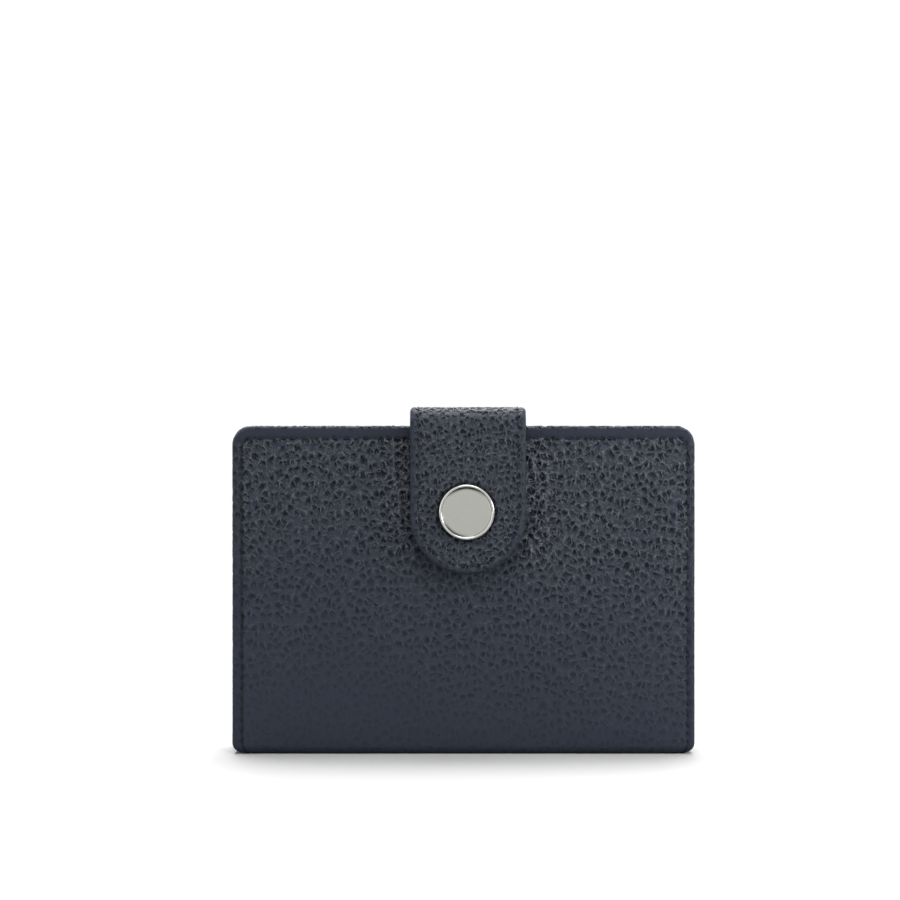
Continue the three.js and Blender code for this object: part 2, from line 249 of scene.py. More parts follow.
def coated(bench: Bench, sockets: dict[str, Any], height: Wire | None = None, reach: float = MM) -> Wire:
    """A principled surface, with an optional bump.

    Args:
        bench: the node tree's bench.
        sockets: values or wires for the surface.
        height: bump height, in units of reach.
        reach: length of one unit of height, in metres.

    Returns:
        The surface's shader.
    """
    if height:
        bump = {"Height": height, "Distance": reach, "Strength": 1.0}
        sockets = {**sockets, "Normal": bench.out("ShaderNodeBump", None, bump)}
    return bench.out("ShaderNodeBsdfPrincipled", None, sockets)


def attribute(bench: Bench, name: str, vector: bool = False) -> Wire:
    """A value kept on the mesh, in a material."""
    socket = "Vector" if vector else "Fac"
    return bench.out("ShaderNodeAttribute", {"attribute_name": name}, None, socket)


@dataclass(frozen=True)
class PebbledLeather(Finish):
    """Tumbled leather: a net of fine raised creases round shallow pits.

    Cells and reaches are in millimetres, and each scale is in cycles per millimetre. A span is where a
    mask starts and where it is full.
    """

    name: str = "pebbled_leather"
    slot: str = "outer_leather"
    cell: float = 1.6
    stretch: float = 1.35
    warp: float = 1.0
    curl: float = 0.4
    crease: float = 0.12
    crease_height: float = 0.045
    pit_depth: float = 0.17
    swell_height: float = 0.05
    carve: float = 0.8
    # Colour of the painted shade in pits and creases, partly dirt, and of scuffs.
    deep: Colour = (0.004, 0.0065, 0.016, 1)
    body: Colour = (0.049, 0.059, 0.086, 1)
    # Colour of the painted highlight on the creases, partly burnished wear.
    crest: Colour = (0.24, 0.255, 0.27, 1)
    roughness: float = 0.46
    wander: float = 0.33
    quiver: float = 1.5
    slope: float = 0.45
    fine: float = 3.2
    pit_span: Span = (0.02, 0.22)
    oval_span: Span = (0.22, 0.66)
    lean_span: Span = (-0.5, 0.35)
    upper_span: Span = (-0.2, 0.35)
    broken_span: Span = (0.36, 0.6)
    hair_span: Span = (0.0, 0.2)
    hair: float = 0.6
    broken_scale: float = 0.9
    swell_scale: float = 0.12
    patch_scale: float = 0.06
    speck_scale: float = 7.0
    scuff_scale: float = 3.5
    pit_shade: float = 1.25
    scuff_shade: float = 0.35
    tooth: float = 0.012

    def relief(self, bench: Bench, flat: Wire) -> tuple[Wire, Wire, Wire]:
        """The grain's shape.

        Args:
            bench: the node tree's bench.
            flat: place on the unrolled leather, in millimetres.

        Returns:
            Height in millimetres, the crease mask and the pit mask.
        """
        place = flat
        for scale, detail, reach in ((self.wander, 2.0, self.warp), (self.quiver, 1.0, self.curl)):
            drift = bench.vector("SUBTRACT", bench.noise(flat, scale, detail, "Color"), (0.5, 0.5, 0.5))
            drift = bench.vector("MULTIPLY", drift, (2 * reach, 2 * reach, 0))
            place = bench.vector("ADD", place, drift)
        place = bench.vector("MULTIPLY", place, (1.0, 1 / self.stretch, 0))
        wall = bench.cells(place, 1 / self.cell)
        cell = bench.node(*bench.net(place, 1 / self.cell, "F1")).outputs
        own = bench.part(Wire(bench, cell["Color"]), 0)
        oval = 1 - Wire(bench, cell["Distance"]).step(*self.oval_span)
        apart = bench.vector("SUBTRACT", place, Wire(bench, cell["Position"]))
        above = bench.part(apart, 1) * (1 / self.cell)
        drawn = bench.part(place, 0) + bench.part(place, 1) * self.slope
        slanted = bench.out("ShaderNodeCombineXYZ", None, {"X": drawn, "Y": bench.part(place, 1) * 0.5})
        fine = bench.cells(slanted, self.fine / self.cell)
        broken = bench.noise(flat, self.broken_scale, 1.0).step(*self.broken_span)
        lean = 0.2 + above.step(*self.lean_span)
        pit = wall.step(*self.pit_span) * oval * lean * (0.6 + own * 0.4)
        upper = 0.2 + above.step(*self.upper_span) * 0.8
        line = (1 - wall.step(0.01, self.crease)) * upper * (0.25 + broken)
        hair = (1 - fine.step(*self.hair_span)) * broken
        crease = line.larger(hair * self.hair)
        swell = bench.noise(flat, self.swell_scale, 2.0)
        height = crease * self.crease_height - pit * self.pit_depth + swell * self.swell_height
        return height, crease, pit

    def shader(self, bench: Bench) -> Wire:
        """Pits darkened by painted shade and dirt, creases paled by a painted highlight that is partly
        burnished wear, and a soft sheen that follows them.

        Args:
            bench: the node tree's bench.

        Returns:
            The surface's shader.
        """
        flat = attribute(bench, FLAT, True)
        strength = attribute(bench, GRAIN)
        shade = attribute(bench, SHADE)
        height, crease, pit = self.relief(bench, flat)
        patch = bench.noise(flat, self.patch_scale, 3.0)
        speck = bench.noise(flat, self.speck_scale, 3.0)
        scuff = bench.noise(bench.vector("MULTIPLY", flat, (1.0, 0.4, 1.0)), self.scuff_scale, 2.0)
        # Painted shade: pits, partly dirt, and the mesh's shade values darken the colour.
        colour = bench.blend(pit * strength * self.pit_shade + shade * 0.8, self.body, self.deep)
        colour = bench.blend(scuff.step(0.5, 0.8) * strength * self.scuff_shade, colour, self.deep)
        # Painted highlight on the creases, partly burnished wear, in the crest colour.
        glow = 0.1 + patch * 0.5 + speck * 0.6
        lit = crease * strength * (0.35 + strength * 0.65)
        colour = bench.blend(lit * glow, colour, self.crest)
        rough = self.roughness + pit * strength * 0.16 - crease * strength * 0.12 + (speck - 0.5) * 0.12
        tooth = height * strength + speck * self.tooth
        sockets = {"Base Color": colour, "Roughness": rough, "Specular IOR Level": 0.2}
        return coated(bench, sockets, tooth)

    def emboss(self, piece: bpy.types.Object) -> None:
        """Press the grain into a piece's own mesh.

        Args:
            piece: a mesh that holds the flat and grain values.
        """
        tree = bpy.data.node_groups.new("emboss", "GeometryNodeTree")
        for way in ("INPUT", "OUTPUT"):
            tree.interface.new_socket("Geometry", in_out=way, socket_type="NodeSocketGeometry")
        bench = Bench(tree)
        kept = "GeometryNodeInputNamedAttribute"
        flat = bench.out(kept, {"data_type": "FLOAT_VECTOR"}, {"Name": FLAT})
        strength = bench.out(kept, {"data_type": "FLOAT"}, {"Name": GRAIN})
        height, _, _ = self.relief(bench, flat)
        normal = bench.out("GeometryNodeInputNormal")
        lift = height * strength * (self.carve * MM)
        offset = bench.out("ShaderNodeVectorMath", {"operation": "SCALE"}, {0: normal, 3: lift})
        source = bench.out("NodeGroupInput")
        moved = bench.out("GeometryNodeSetPosition", None, {"Geometry": source, "Offset": offset})
        bench.node("NodeGroupOutput", None, {0: moved})
        press = piece.modifiers.new("emboss", "NODES")
        press.node_group = tree
        settle(piece)


@dataclass(frozen=True)
class SmoothLeather(Finish):
    """Thin lining leather with a fine even grain."""

    name: str = "lining_leather"
    slot: str = "lining_leather"
    body: Colour = (0.013, 0.017, 0.026, 1)
    worn: Colour = (0.024, 0.03, 0.042, 1)
    scale: float = 1.6
    roughness: float = 0.56

    def shader(self, bench: Bench) -> Wire:
        """Fine cells, cloudy colour and a dull sheen.

        Args:
            bench: the node tree's bench.

        Returns:
            The surface's shader.
        """
        place = attribute(bench, FLAT, True)
        cloud = bench.noise(place, 0.11, 3.0)
        settings = {"feature": "F1", "voronoi_dimensions": "3D"}
        pore = bench.out("ShaderNodeTexVoronoi", settings, {"Vector": place, "Scale": self.scale})
        colour = bench.blend(cloud.step(0.35, 0.7), self.body, self.worn)
        rough = self.roughness + (cloud - 0.5) * 0.15
        height = pore * 0.03 + bench.noise(place, 5.0, 3.0) * 0.02
        return coated(bench, {"Base Color": colour, "Roughness": rough}, height)


@dataclass(frozen=True)
class DividerLeather(SmoothLeather):
    """The dividers' leather, a little paler than the lining."""

    name: str = "divider_leather"
    slot: str = "divider_leather"
    body: Colour = (0.017, 0.021, 0.031, 1)
    worn: Colour = (0.03, 0.036, 0.05, 1)
    scale: float = 2.2


@dataclass(frozen=True)
class FoldCloth(Finish):
    """Ribbed cloth of the side folds."""

    name: str = "gusset_cloth"
    slot: str = "gusset_cloth"
    warp_colour: Colour = (0.012, 0.015, 0.024, 1)
    weft_colour: Colour = (0.026, 0.031, 0.044, 1)
    pitch: float = 0.42

    def shader(self, bench: Bench) -> Wire:
        """Ribs up the cloth with a finer crossing thread.

        Args:
            bench: the node tree's bench.

        Returns:
            The surface's shader.
        """
        place = attribute(bench, FLAT, True)
        rib = bench.math("SINE", bench.part(place, 2) * (2 * math.pi / self.pitch), 0.0)
        cross = bench.math("SINE", bench.part(place, 0) * (2 * math.pi / (0.6 * self.pitch)), 0.0)
        weave = rib * 0.5 + cross * 0.25 + 0.5
        cloud = bench.noise(place, 0.2, 3.0)
        colour = bench.blend(weave * 0.7 + cloud * 0.3, self.warp_colour, self.weft_colour)
        rough = 0.78 + (cloud - 0.5) * 0.2
        return coated(bench, {"Base Color": colour, "Roughness": rough, "Sheen Weight": 0.15}, weave * 0.05)


@dataclass(frozen=True)
class SatinNickel(Finish):
    """Plated snap metal, softly brushed by handling."""

    name: str = "satin_nickel"
    slot: str = "snap_metal"
    bright: Colour = (0.86, 0.87, 0.81, 1)
    dull: Colour = (0.82, 0.83, 0.77, 1)
    # Colour of the painted shade in the cap's groove.
    groove_shade: Colour = (0.012, 0.012, 0.014, 1)
    roughness: float = 0.13

    def shader(self, bench: Bench) -> Wire:
        """Metal with a faint cloud of wear and fine scratches.

        Args:
            bench: the node tree's bench.

        Returns:
            The surface's shader.
        """
        place = attribute(bench, FLAT, True)
        painted_shade = attribute(bench, SHADE)
        cloud = bench.noise(place, 0.5, 3.0)
        streak = bench.noise(bench.vector("MULTIPLY", place, (0.4, 1.0, 6.0)), 3.0, 3.0)
        # Painted shade: the mesh's shade values darken the metal towards the groove's shade colour.
        colour = bench.blend(painted_shade, bench.blend(cloud, self.bright, self.dull), self.groove_shade)
        rough = self.roughness + (cloud - 0.5) * 0.05 + (streak - 0.5) * 0.04 + painted_shade * 0.3
        return coated(bench, {"Base Color": colour, "Metallic": 1.0, "Roughness": rough}, streak * 0.0006)


@dataclass(frozen=True)
class SewingThread(Finish):
    """Twisted, waxed thread."""

    name: str = "sewing_thread"
    slot: str = "thread"
    body: Colour = (0.006, 0.0085, 0.017, 1)
    crest: Colour = (0.02, 0.026, 0.043, 1)
    along: float = 14.0
    around: float = 9.0

    def shader(self, bench: Bench) -> Wire:
        """Slanting plies from the place along each stitch.

        Args:
            bench: the node tree's bench.

        Returns:
            The surface's shader.
        """
        flat = attribute(bench, FLAT, True)
        phase = bench.part(flat, 0) * self.along + bench.part(flat, 1) * self.around
        ply = bench.math("SINE", phase, 0.0) * 0.5 + 0.5
        colour = bench.blend(ply, self.body, self.crest)
        return coated(bench, {"Base Color": colour, "Roughness": 0.55 - ply * 0.12}, ply * 0.04)


@dataclass(frozen=True)
class GreyBoard(Finish):
    """Pressed fibre board, hidden in the covers."""

    name: str = "fibre_board"
    slot: str = "board"
    pulp: Colour = (0.3, 0.26, 0.2, 1)
    fibre: Colour = (0.42, 0.38, 0.31, 1)

    def shader(self, bench: Bench) -> Wire:
        """Flecked grey-brown fibre.

        Args:
            bench: the node tree's bench.

        Returns:
            The surface's shader.
        """
        metres = bench.out("ShaderNodeTexCoord", None, None, "Object")
        place = bench.vector("MULTIPLY", metres, (1 / MM, 1 / MM, 1 / MM))
        fleck = bench.noise(place, 1.5, 5.0)
        colour = bench.blend(fleck.step(0.3, 0.7), self.pulp, self.fibre)
        return coated(bench, {"Base Color": colour, "Roughness": 0.85 + (fleck - 0.5) * 0.1}, fleck * 0.05)


@dataclass(frozen=True)
class WhitePaper(Finish):
    """Seamless pale paper under the object."""

    name: str = "white_paper"
    hollow: Colour = (0.93, 0.93, 0.93, 1)
    tip: Colour = (0.95, 0.95, 0.95, 1)
    bounced: Colour = (0.3, 0.3, 0.3, 1)
    mirrored: Colour = (0.38, 0.38, 0.38, 1)

    def shader(self, bench: Bench) -> Wire:
        """Even white with a trace of tooth.

        Args:
            bench: the node tree's bench.

        Returns:
            The surface's shader.
        """
        place = bench.out("ShaderNodeTexCoord", None, None, "Object")
        tooth = bench.noise(place, 40.0, 2.0)
        pale = bench.blend(tooth, self.hollow, self.tip)
        paths = bench.node("ShaderNodeLightPath").outputs
        bounced = bench.blend(Wire(bench, paths["Is Glossy Ray"]), self.bounced, self.mirrored)
        colour = bench.blend(Wire(bench, paths["Is Camera Ray"]), bounced, pale)
        return coated(bench, {"Base Color": colour, "Roughness": 0.9, "Specular IOR Level": 0.1})


def place_object(name: str, data: bpy.types.ID) -> bpy.types.Object:
    """Put a new object into the scene.

    Args:
        name: the object's name.
        data: its mesh, lamp or camera.

    Returns:
        The new object.
    """
    made = bpy.data.objects.new(name, data)
    bpy.context.scene.collection.objects.link(made)
    return made


def arc(
    centre: tuple[float, float], radius: float, start: float, stop: float, steps: int
) -> list[tuple[float, float]]:
    """Points round an arc.

    Args:
        centre: the arc's centre.
        radius: the arc's radius.
        start: first angle in degrees.
        stop: last angle in degrees.
        steps: number of chords.

    Returns:
        Pairs of coordinates.
    """
    angles = np.radians(np.linspace(start, stop, steps + 1))
    return [(centre[0] + radius * math.cos(a), centre[1] + radius * math.sin(a)) for a in angles]


def quads(rows: int, columns: int, base: int = 0, loop: bool = False) -> list[list[int]]:
    """Four-cornered faces between the rows of a grid of corners.

    Args:
        rows: rows of corners.
        columns: corners in each row.
        base: number of the first corner.
        loop: whether each row closes on itself.

    Returns:
        Corner numbers of each face.
    """
    faces = []
    for row in range(rows - 1):
        at = base + row * columns
        for column in range(columns if loop else columns - 1):
            after = (column + 1) % columns
            faces.append([at + column, at + after, at + columns + after, at + columns + column])
    return faces


def settle(piece: bpy.types.Object) -> None:
    """Apply a piece's modifiers to its mesh.

    Args:
        piece: the piece to settle.
    """
    bpy.context.view_layer.update()
    shaped = piece.evaluated_get(bpy.context.evaluated_depsgraph_get())
    mesh = bpy.data.meshes.new_from_object(shaped)
    piece.modifiers.clear()
    piece.data = mesh


def make_piece(
    name: str, points: np.ndarray, faces: list[list[int]], values: dict[str, np.ndarray] | None = None
) -> bpy.types.Object:
    """Make a closed mesh object, welded and with its faces out.

    Args:
        name: the piece's name.
        points: corners in metres.
        faces: corner numbers of each face.
        values: numbers or vectors kept on the corners, by name.

    Returns:
        The new object.
    """
    mesh = bpy.data.meshes.new(name)
    mesh.from_pydata(points.tolist(), [], faces)
    for key, data in (values or {}).items():
        vector = data.ndim == 2
        layer = mesh.attributes.new(key, "FLOAT_VECTOR" if vector else "FLOAT", "POINT")
        layer.data.foreach_set("vector" if vector else "value", data.astype(np.float32).ravel())
    shape = bmesh.new()
    shape.from_mesh(mesh)
    bmesh.ops.remove_doubles(shape, verts=shape.verts, dist=WELD)
    edges = [edge for edge in shape.edges if edge.is_boundary]
    if edges:
        bmesh.ops.holes_fill(shape, edges=edges, sides=0)
    bmesh.ops.recalc_face_normals(shape, faces=shape.faces)
    shape.to_mesh(mesh)
    shape.free()
    if FLAT not in mesh.attributes:
        keep_places(mesh)
    mesh.shade_smooth()
    mesh.set_sharp_from_angle(angle=math.radians(SHARP))
    return place_object(name, mesh)


def keep_places(mesh: bpy.types.Mesh) -> None:
    """Keep every corner's own place, in millimetres, as its flat value.

    Args:
        mesh: the mesh to keep them on.
    """
    places = np.empty(len(mesh.vertices) * 3, np.float32)
    mesh.vertices.foreach_get("co", places)
    mesh.attributes.new(FLAT, "FLOAT_VECTOR", "POINT").data.foreach_set("vector", places / MM)


def bore(
    piece: bpy.types.Object, place: tuple[float, float], radius: float, span: Span
) -> None:
    """Cut a round hole along Y into a piece, in millimetres.

    Args:
        piece: the piece to cut.
        place: the hole's x and z.
        radius: the hole's radius.
        span: where the hole starts and ends in y.
    """
    shape = bmesh.new()
    middle = Vector((place[0], (span[0] + span[1]) / 2, place[1])) * MM
    turn = Matrix.Translation(middle) @ Matrix.Rotation(math.pi / 2, 4, "X")
    sizes = {"radius1": radius * MM, "radius2": radius * MM, "depth": abs(span[1] - span[0]) * MM}
    bmesh.ops.create_cone(shape, cap_ends=True, segments=72, matrix=turn, **sizes)
    mesh = bpy.data.meshes.new("drill")
    shape.to_mesh(mesh)
    shape.free()
    drill = place_object("drill", mesh)
    cut = piece.modifiers.new("bore", "BOOLEAN")
    cut.solver, cut.operation, cut.object = "MANIFOLD", "DIFFERENCE", drill
    settle(piece)
    bpy.data.objects.remove(drill)


def step(value: np.ndarray, low: float, high: float) -> np.ndarray:
    """Smooth step from 0 at low to 1 at high."""
    t = np.clip((value - low) / (high - low), 0, 1)
    return t * t * (3 - 2 * t)


@dataclass(frozen=True)
class SideLine:
    """Side-view line of a folded sheet's outer face, in millimetres.

    side is 1 or -1, the hand on which the outer face lies. legs are (length, turn) pairs.
    """

    start: tuple[float, float]
    heading: float
    side: int
    legs: tuple[tuple[float, float], ...]

    @property
    def length(self) -> float:
        """Whole length of the line."""
        return sum(leg[0] for leg in self.legs)

    def place(self, along: np.ndarray, depth: np.ndarray) -> tuple[np.ndarray, np.ndarray]:
        """Points at a distance along the line and a depth under the outer face.

        Args:
            along: distance from the start.
            depth: depth, positive inwards.

        Returns:
            The depth-wise (Y) and upward (Z) coordinates.
        """
        y = np.zeros_like(along)
        z = np.zeros_like(along)
        angle = np.full_like(along, self.heading)
        at, heading, done = np.array(self.start, float), self.heading, 0.0
        for number, (length, turn) in enumerate(self.legs):
            last = number == len(self.legs) - 1
            here = (along >= done) & ((along < done + length) | last)
            run = along[here] - done
            if abs(turn) < 1e-9:
                y[here] = at[0] + run * math.cos(heading)
                z[here] = at[1] + run * math.sin(heading)
                angle[here] = heading
                at = at + length * np.array([math.cos(heading), math.sin(heading)])
            else:
                radius = length / turn
                turned = heading + run / radius
                y[here] = at[0] + radius * (np.sin(turned) - math.sin(heading))
                z[here] = at[1] - radius * (np.cos(turned) - math.cos(heading))
                angle[here] = turned
                end = heading + turn
                over = math.sin(end) - math.sin(heading)
                rise = math.cos(heading) - math.cos(end)
                at = at + radius * np.array([over, rise])
                heading = end
            done += length
        y += self.side * np.sin(angle) * depth
        z -= self.side * np.cos(angle) * depth
        return y, z


def no_relief(x: np.ndarray, along: np.ndarray, inset: np.ndarray) -> np.ndarray:
    """A plain face."""
    return np.zeros_like(x)


@dataclass
class Panel:
    """A padded sheet on a side line, with round free corners and rolled edges, in millimetres."""

    name: str
    line: SideLine
    centre: float
    half_width: float
    corner: float
    top: float
    bottom: float
    roll: float
    grid: float
    end_inset: float = 0.0
    narrowing: Curve | None = None
    relief: Field = no_relief
    grain: Field | None = None
    shade: Field | None = None
    direction: int = 1
    origin: float = 0.0
    fineness: float = 1.0

    @property
    def length(self) -> float:
        """Length from the split to the free end."""
        return self.line.length - self.end_inset

    def world(self, x: np.ndarray, along: np.ndarray, depth: np.ndarray) -> np.ndarray:
        """Map places on the flat sheet to the folded one.

        Args:
            x: distance from the sheet's middle.
            along: distance from the split.
            depth: depth under the outer face.

        Returns:
            Points in metres.
        """
        y, z = self.line.place(along, depth)
        share = self.narrowing(z) if self.narrowing else 1.0
        return np.stack([self.centre + x * share, y, z], axis=1) * MM

    def outline(self) -> tuple[np.ndarray, np.ndarray, int, int]:
        """Samples round the free edge.

        Returns:
            Anchor points, outward directions, and the counts along the side and across the end.
        """
        core = self.half_width - self.corner
        end = self.length - self.corner
        sides = max(2, math.ceil(end / self.grid))
        across = math.ceil(2 * core / self.grid) if core > self.grid else 0
        turns = max(4, math.ceil(self.corner * math.pi / 2 / self.grid))
        anchors, ways = [], []
        for along in np.linspace(0, end, sides + 1):
            anchors.append((-core, along))
            ways.append((-1.0, 0.0))
        for angle in np.linspace(0, math.pi / 2, turns + 1)[1:-1]:
            anchors.append((-core, end))
            ways.append((-math.cos(angle), math.sin(angle)))
        for x in np.linspace(-core, core, across + 1) if across else [0.0]:
            anchors.append((x, end))
            ways.append((0.0, 1.0))
        for angle in np.linspace(math.pi / 2, 0, turns + 1)[1:-1]:
            anchors.append((core, end))
            ways.append((math.cos(angle), math.sin(angle)))
        for along in np.linspace(end, 0, sides + 1):
            anchors.append((core, along))
            ways.append((1.0, 0.0))
        return np.array(anchors), np.array(ways), sides, across

    def section(self) -> list[tuple[float, float, float]]:
        """Half section across the edge, from the outer face round to the inner one.

        Returns:
            (inset, depth, run) triples; run is the inset on the unrolled sheet.
        """
        steps = max(3, math.ceil((self.corner - self.roll) / self.grid))
        rows = [(inset, self.top, inset) for inset in np.linspace(self.corner, self.roll, steps + 1)]
        turn = max(4, math.ceil(self.roll * math.pi / 2 / self.grid))
        for angle in np.linspace(0, math.pi / 2, turn + 1)[1:]:
            inset = self.roll * (1 - math.sin(angle))
            depth = self.top + self.roll * (1 - math.cos(angle))
            rows.append((inset, depth, self.roll * (1 - angle)))
        rise = self.bottom - self.top - 2 * self.roll
        corner = rows[-1][2] - rise
        if rise > 0.01:
            rows.append((0.0, self.bottom - self.roll, corner))
        for angle in np.linspace(0, math.pi / 2, turn + 1)[1:]:
            inset = self.roll * (1 - math.cos(angle))
            depth = self.bottom - self.roll * (1 - math.sin(angle))
            rows.append((inset, depth, corner - self.roll * angle))
        rows.append((self.corner, self.bottom, rows[-1][2] - self.corner + self.roll))
        return rows

    def build(self) -> bpy.types.Object:
        """Make the panel's mesh.

        Returns:
            The new piece, with flat, grain and shade values on its corners.
        """
        anchors, ways, sides, across = self.outline()
        section = np.array(self.section())
        count, rings = len(anchors), len(section)
        reach = self.corner - section[:, 0]
        flat_reach = self.corner - section[:, 2]
        rim = anchors[None] + ways[None] * reach[:, None, None]
        rim_flat = anchors[None] + ways[None] * flat_reach[:, None, None]
        depth = np.repeat(section[:, 1], count)
        inset = np.repeat(section[:, 2], count)
        faces = quads(rings, count)
        last = (rings - 1) * count
        for k in range(sides):
            faces.append([last + k, last + k + 1, last + count - 2 - k, last + count - 1 - k])
        end_left = last + sides
        end_right = last + count - 1 - sides
        if end_right - end_left > 1:
            faces.append(list(range(end_left, end_right + 1)))
        plan = [rim.reshape(-1, 2)]
        unrolled = [rim_flat.reshape(-1, 2)]
        if across:
            xs = np.linspace(-(self.half_width - self.corner), self.half_width - self.corner, across + 1)
            alongs = np.linspace(0, self.length - self.corner, sides + 1)
            inner = np.stack(np.meshgrid(xs, alongs, indexing="xy"), axis=-1).reshape(-1, 2)
            faces += quads(sides + 1, across + 1, rings * count)
            plan.append(inner)
            unrolled.append(inner)
            edge = np.minimum(self.half_width - np.abs(inner[:, 0]), self.length - inner[:, 1])
            depth = np.concatenate([depth, np.full(len(inner), self.top)])
            inset = np.concatenate([inset, edge])
        plan = np.concatenate(plan)
        unrolled = np.concatenate(unrolled)
        x, along = plan[:, 0], plan[:, 1]
        middle = (self.top + self.bottom) / 2
        outer = step(-depth, -middle, -self.top - 0.3 * self.roll) if self.roll < middle else 1.0
        shaped = depth - self.relief(x, along, inset) * outer
        blank = np.ones(len(plan))
        grain = self.grain(x, along, inset) if self.grain else blank
        shade = self.shade(x, along, inset) if self.shade else 0 * blank
        flat = np.column_stack([unrolled[:, 0] + self.origin, unrolled[:, 1] * self.direction, 0 * blank])
        flat = flat * self.fineness
        grain = np.where(depth > self.bottom - 0.01, 0.25 * grain, grain)
        values = {FLAT: flat, GRAIN: grain, SHADE: shade}
        return make_piece(self.name, self.world(x, along, shaped), faces, values)


@dataclass
class Stitching:
    """Rows of stitches laid on a panel, in millimetres."""

    name: str
    panel: Panel
    pitch: float = 2.4
    share: float = 0.72
    radius: float = 0.2
    depth: float = 0.12
    slant: float = 0.12
    around: int = 8
    steps: int = 7
    seed: int = 3
    rows: list[np.ndarray] = field(default_factory=list)

    def lay(self, row: list[tuple[float, float]]) -> None:
        """Add a row along (x, along) points on the flat sheet."""
        self.rows.append(np.array(row, float))

    def build(self) -> bpy.types.Object:
        """Make all the stitches as one mesh.

        Returns:
            The new piece.
        """
        chance = np.random.default_rng(self.seed)
        points, flats, faces = [], [], []
        around, steps = self.around, self.steps
        angles = np.linspace(0, 2 * math.pi, around, endpoint=False)
        tip = np.linspace(-1, 1, steps)
        for row in self.rows:
            runs = np.hypot(*np.diff(row, axis=0).T)
            marks = np.concatenate([[0], np.cumsum(runs)])
            number = max(1, round(marks[-1] / self.pitch))
            pitch = marks[-1] / number
            for k in range(number):
                ends = (k + 0.5 + np.array([-0.5, 0.5]) * self.share) * pitch
                span = np.linspace(*ends, steps)
                x = np.interp(span, marks, row[:, 0])
                along = np.interp(span, marks, row[:, 1])
                way = np.array([x[-1] - x[0], along[-1] - along[0]])
                way /= np.hypot(*way)
                side = np.array([-way[1], way[0]])
                tilt = tip * (self.slant + chance.normal(0, 0.03)) * self.radius * 2
                thick = self.radius * (1 + chance.normal(0, 0.05)) * np.sqrt(1 - 0.92 * tip**8)
                sink = self.depth + 0.16 * tip**4
                base = len(points) * around
                for i in range(steps):
                    out = thick[i] * np.cos(angles)
                    lift = thick[i] * np.sin(angles)
                    px = x[i] + side[0] * (out + tilt[i])
                    pa = along[i] + side[1] * (out + tilt[i])
                    points.append(self.panel.world(px, pa, sink[i] - lift))
                    flats.append(np.column_stack([np.full(around, span[i]), angles, np.zeros(around)]))
                faces += quads(steps, around, base, loop=True)
                faces.append([base + j for j in reversed(range(around))])
                faces.append([base + (steps - 1) * around + j for j in range(around)])
        values = {FLAT: np.concatenate(flats)}
        piece = make_piece(self.name, np.concatenate(points), faces, values)
        SewingThread().dress(piece)
        return piece


def box_mm(node: str) -> tuple[np.ndarray, np.ndarray]:
    """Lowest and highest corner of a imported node, in millimetres."""
    low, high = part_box(node)
    return np.array(low) / MM, np.array(high) / MM


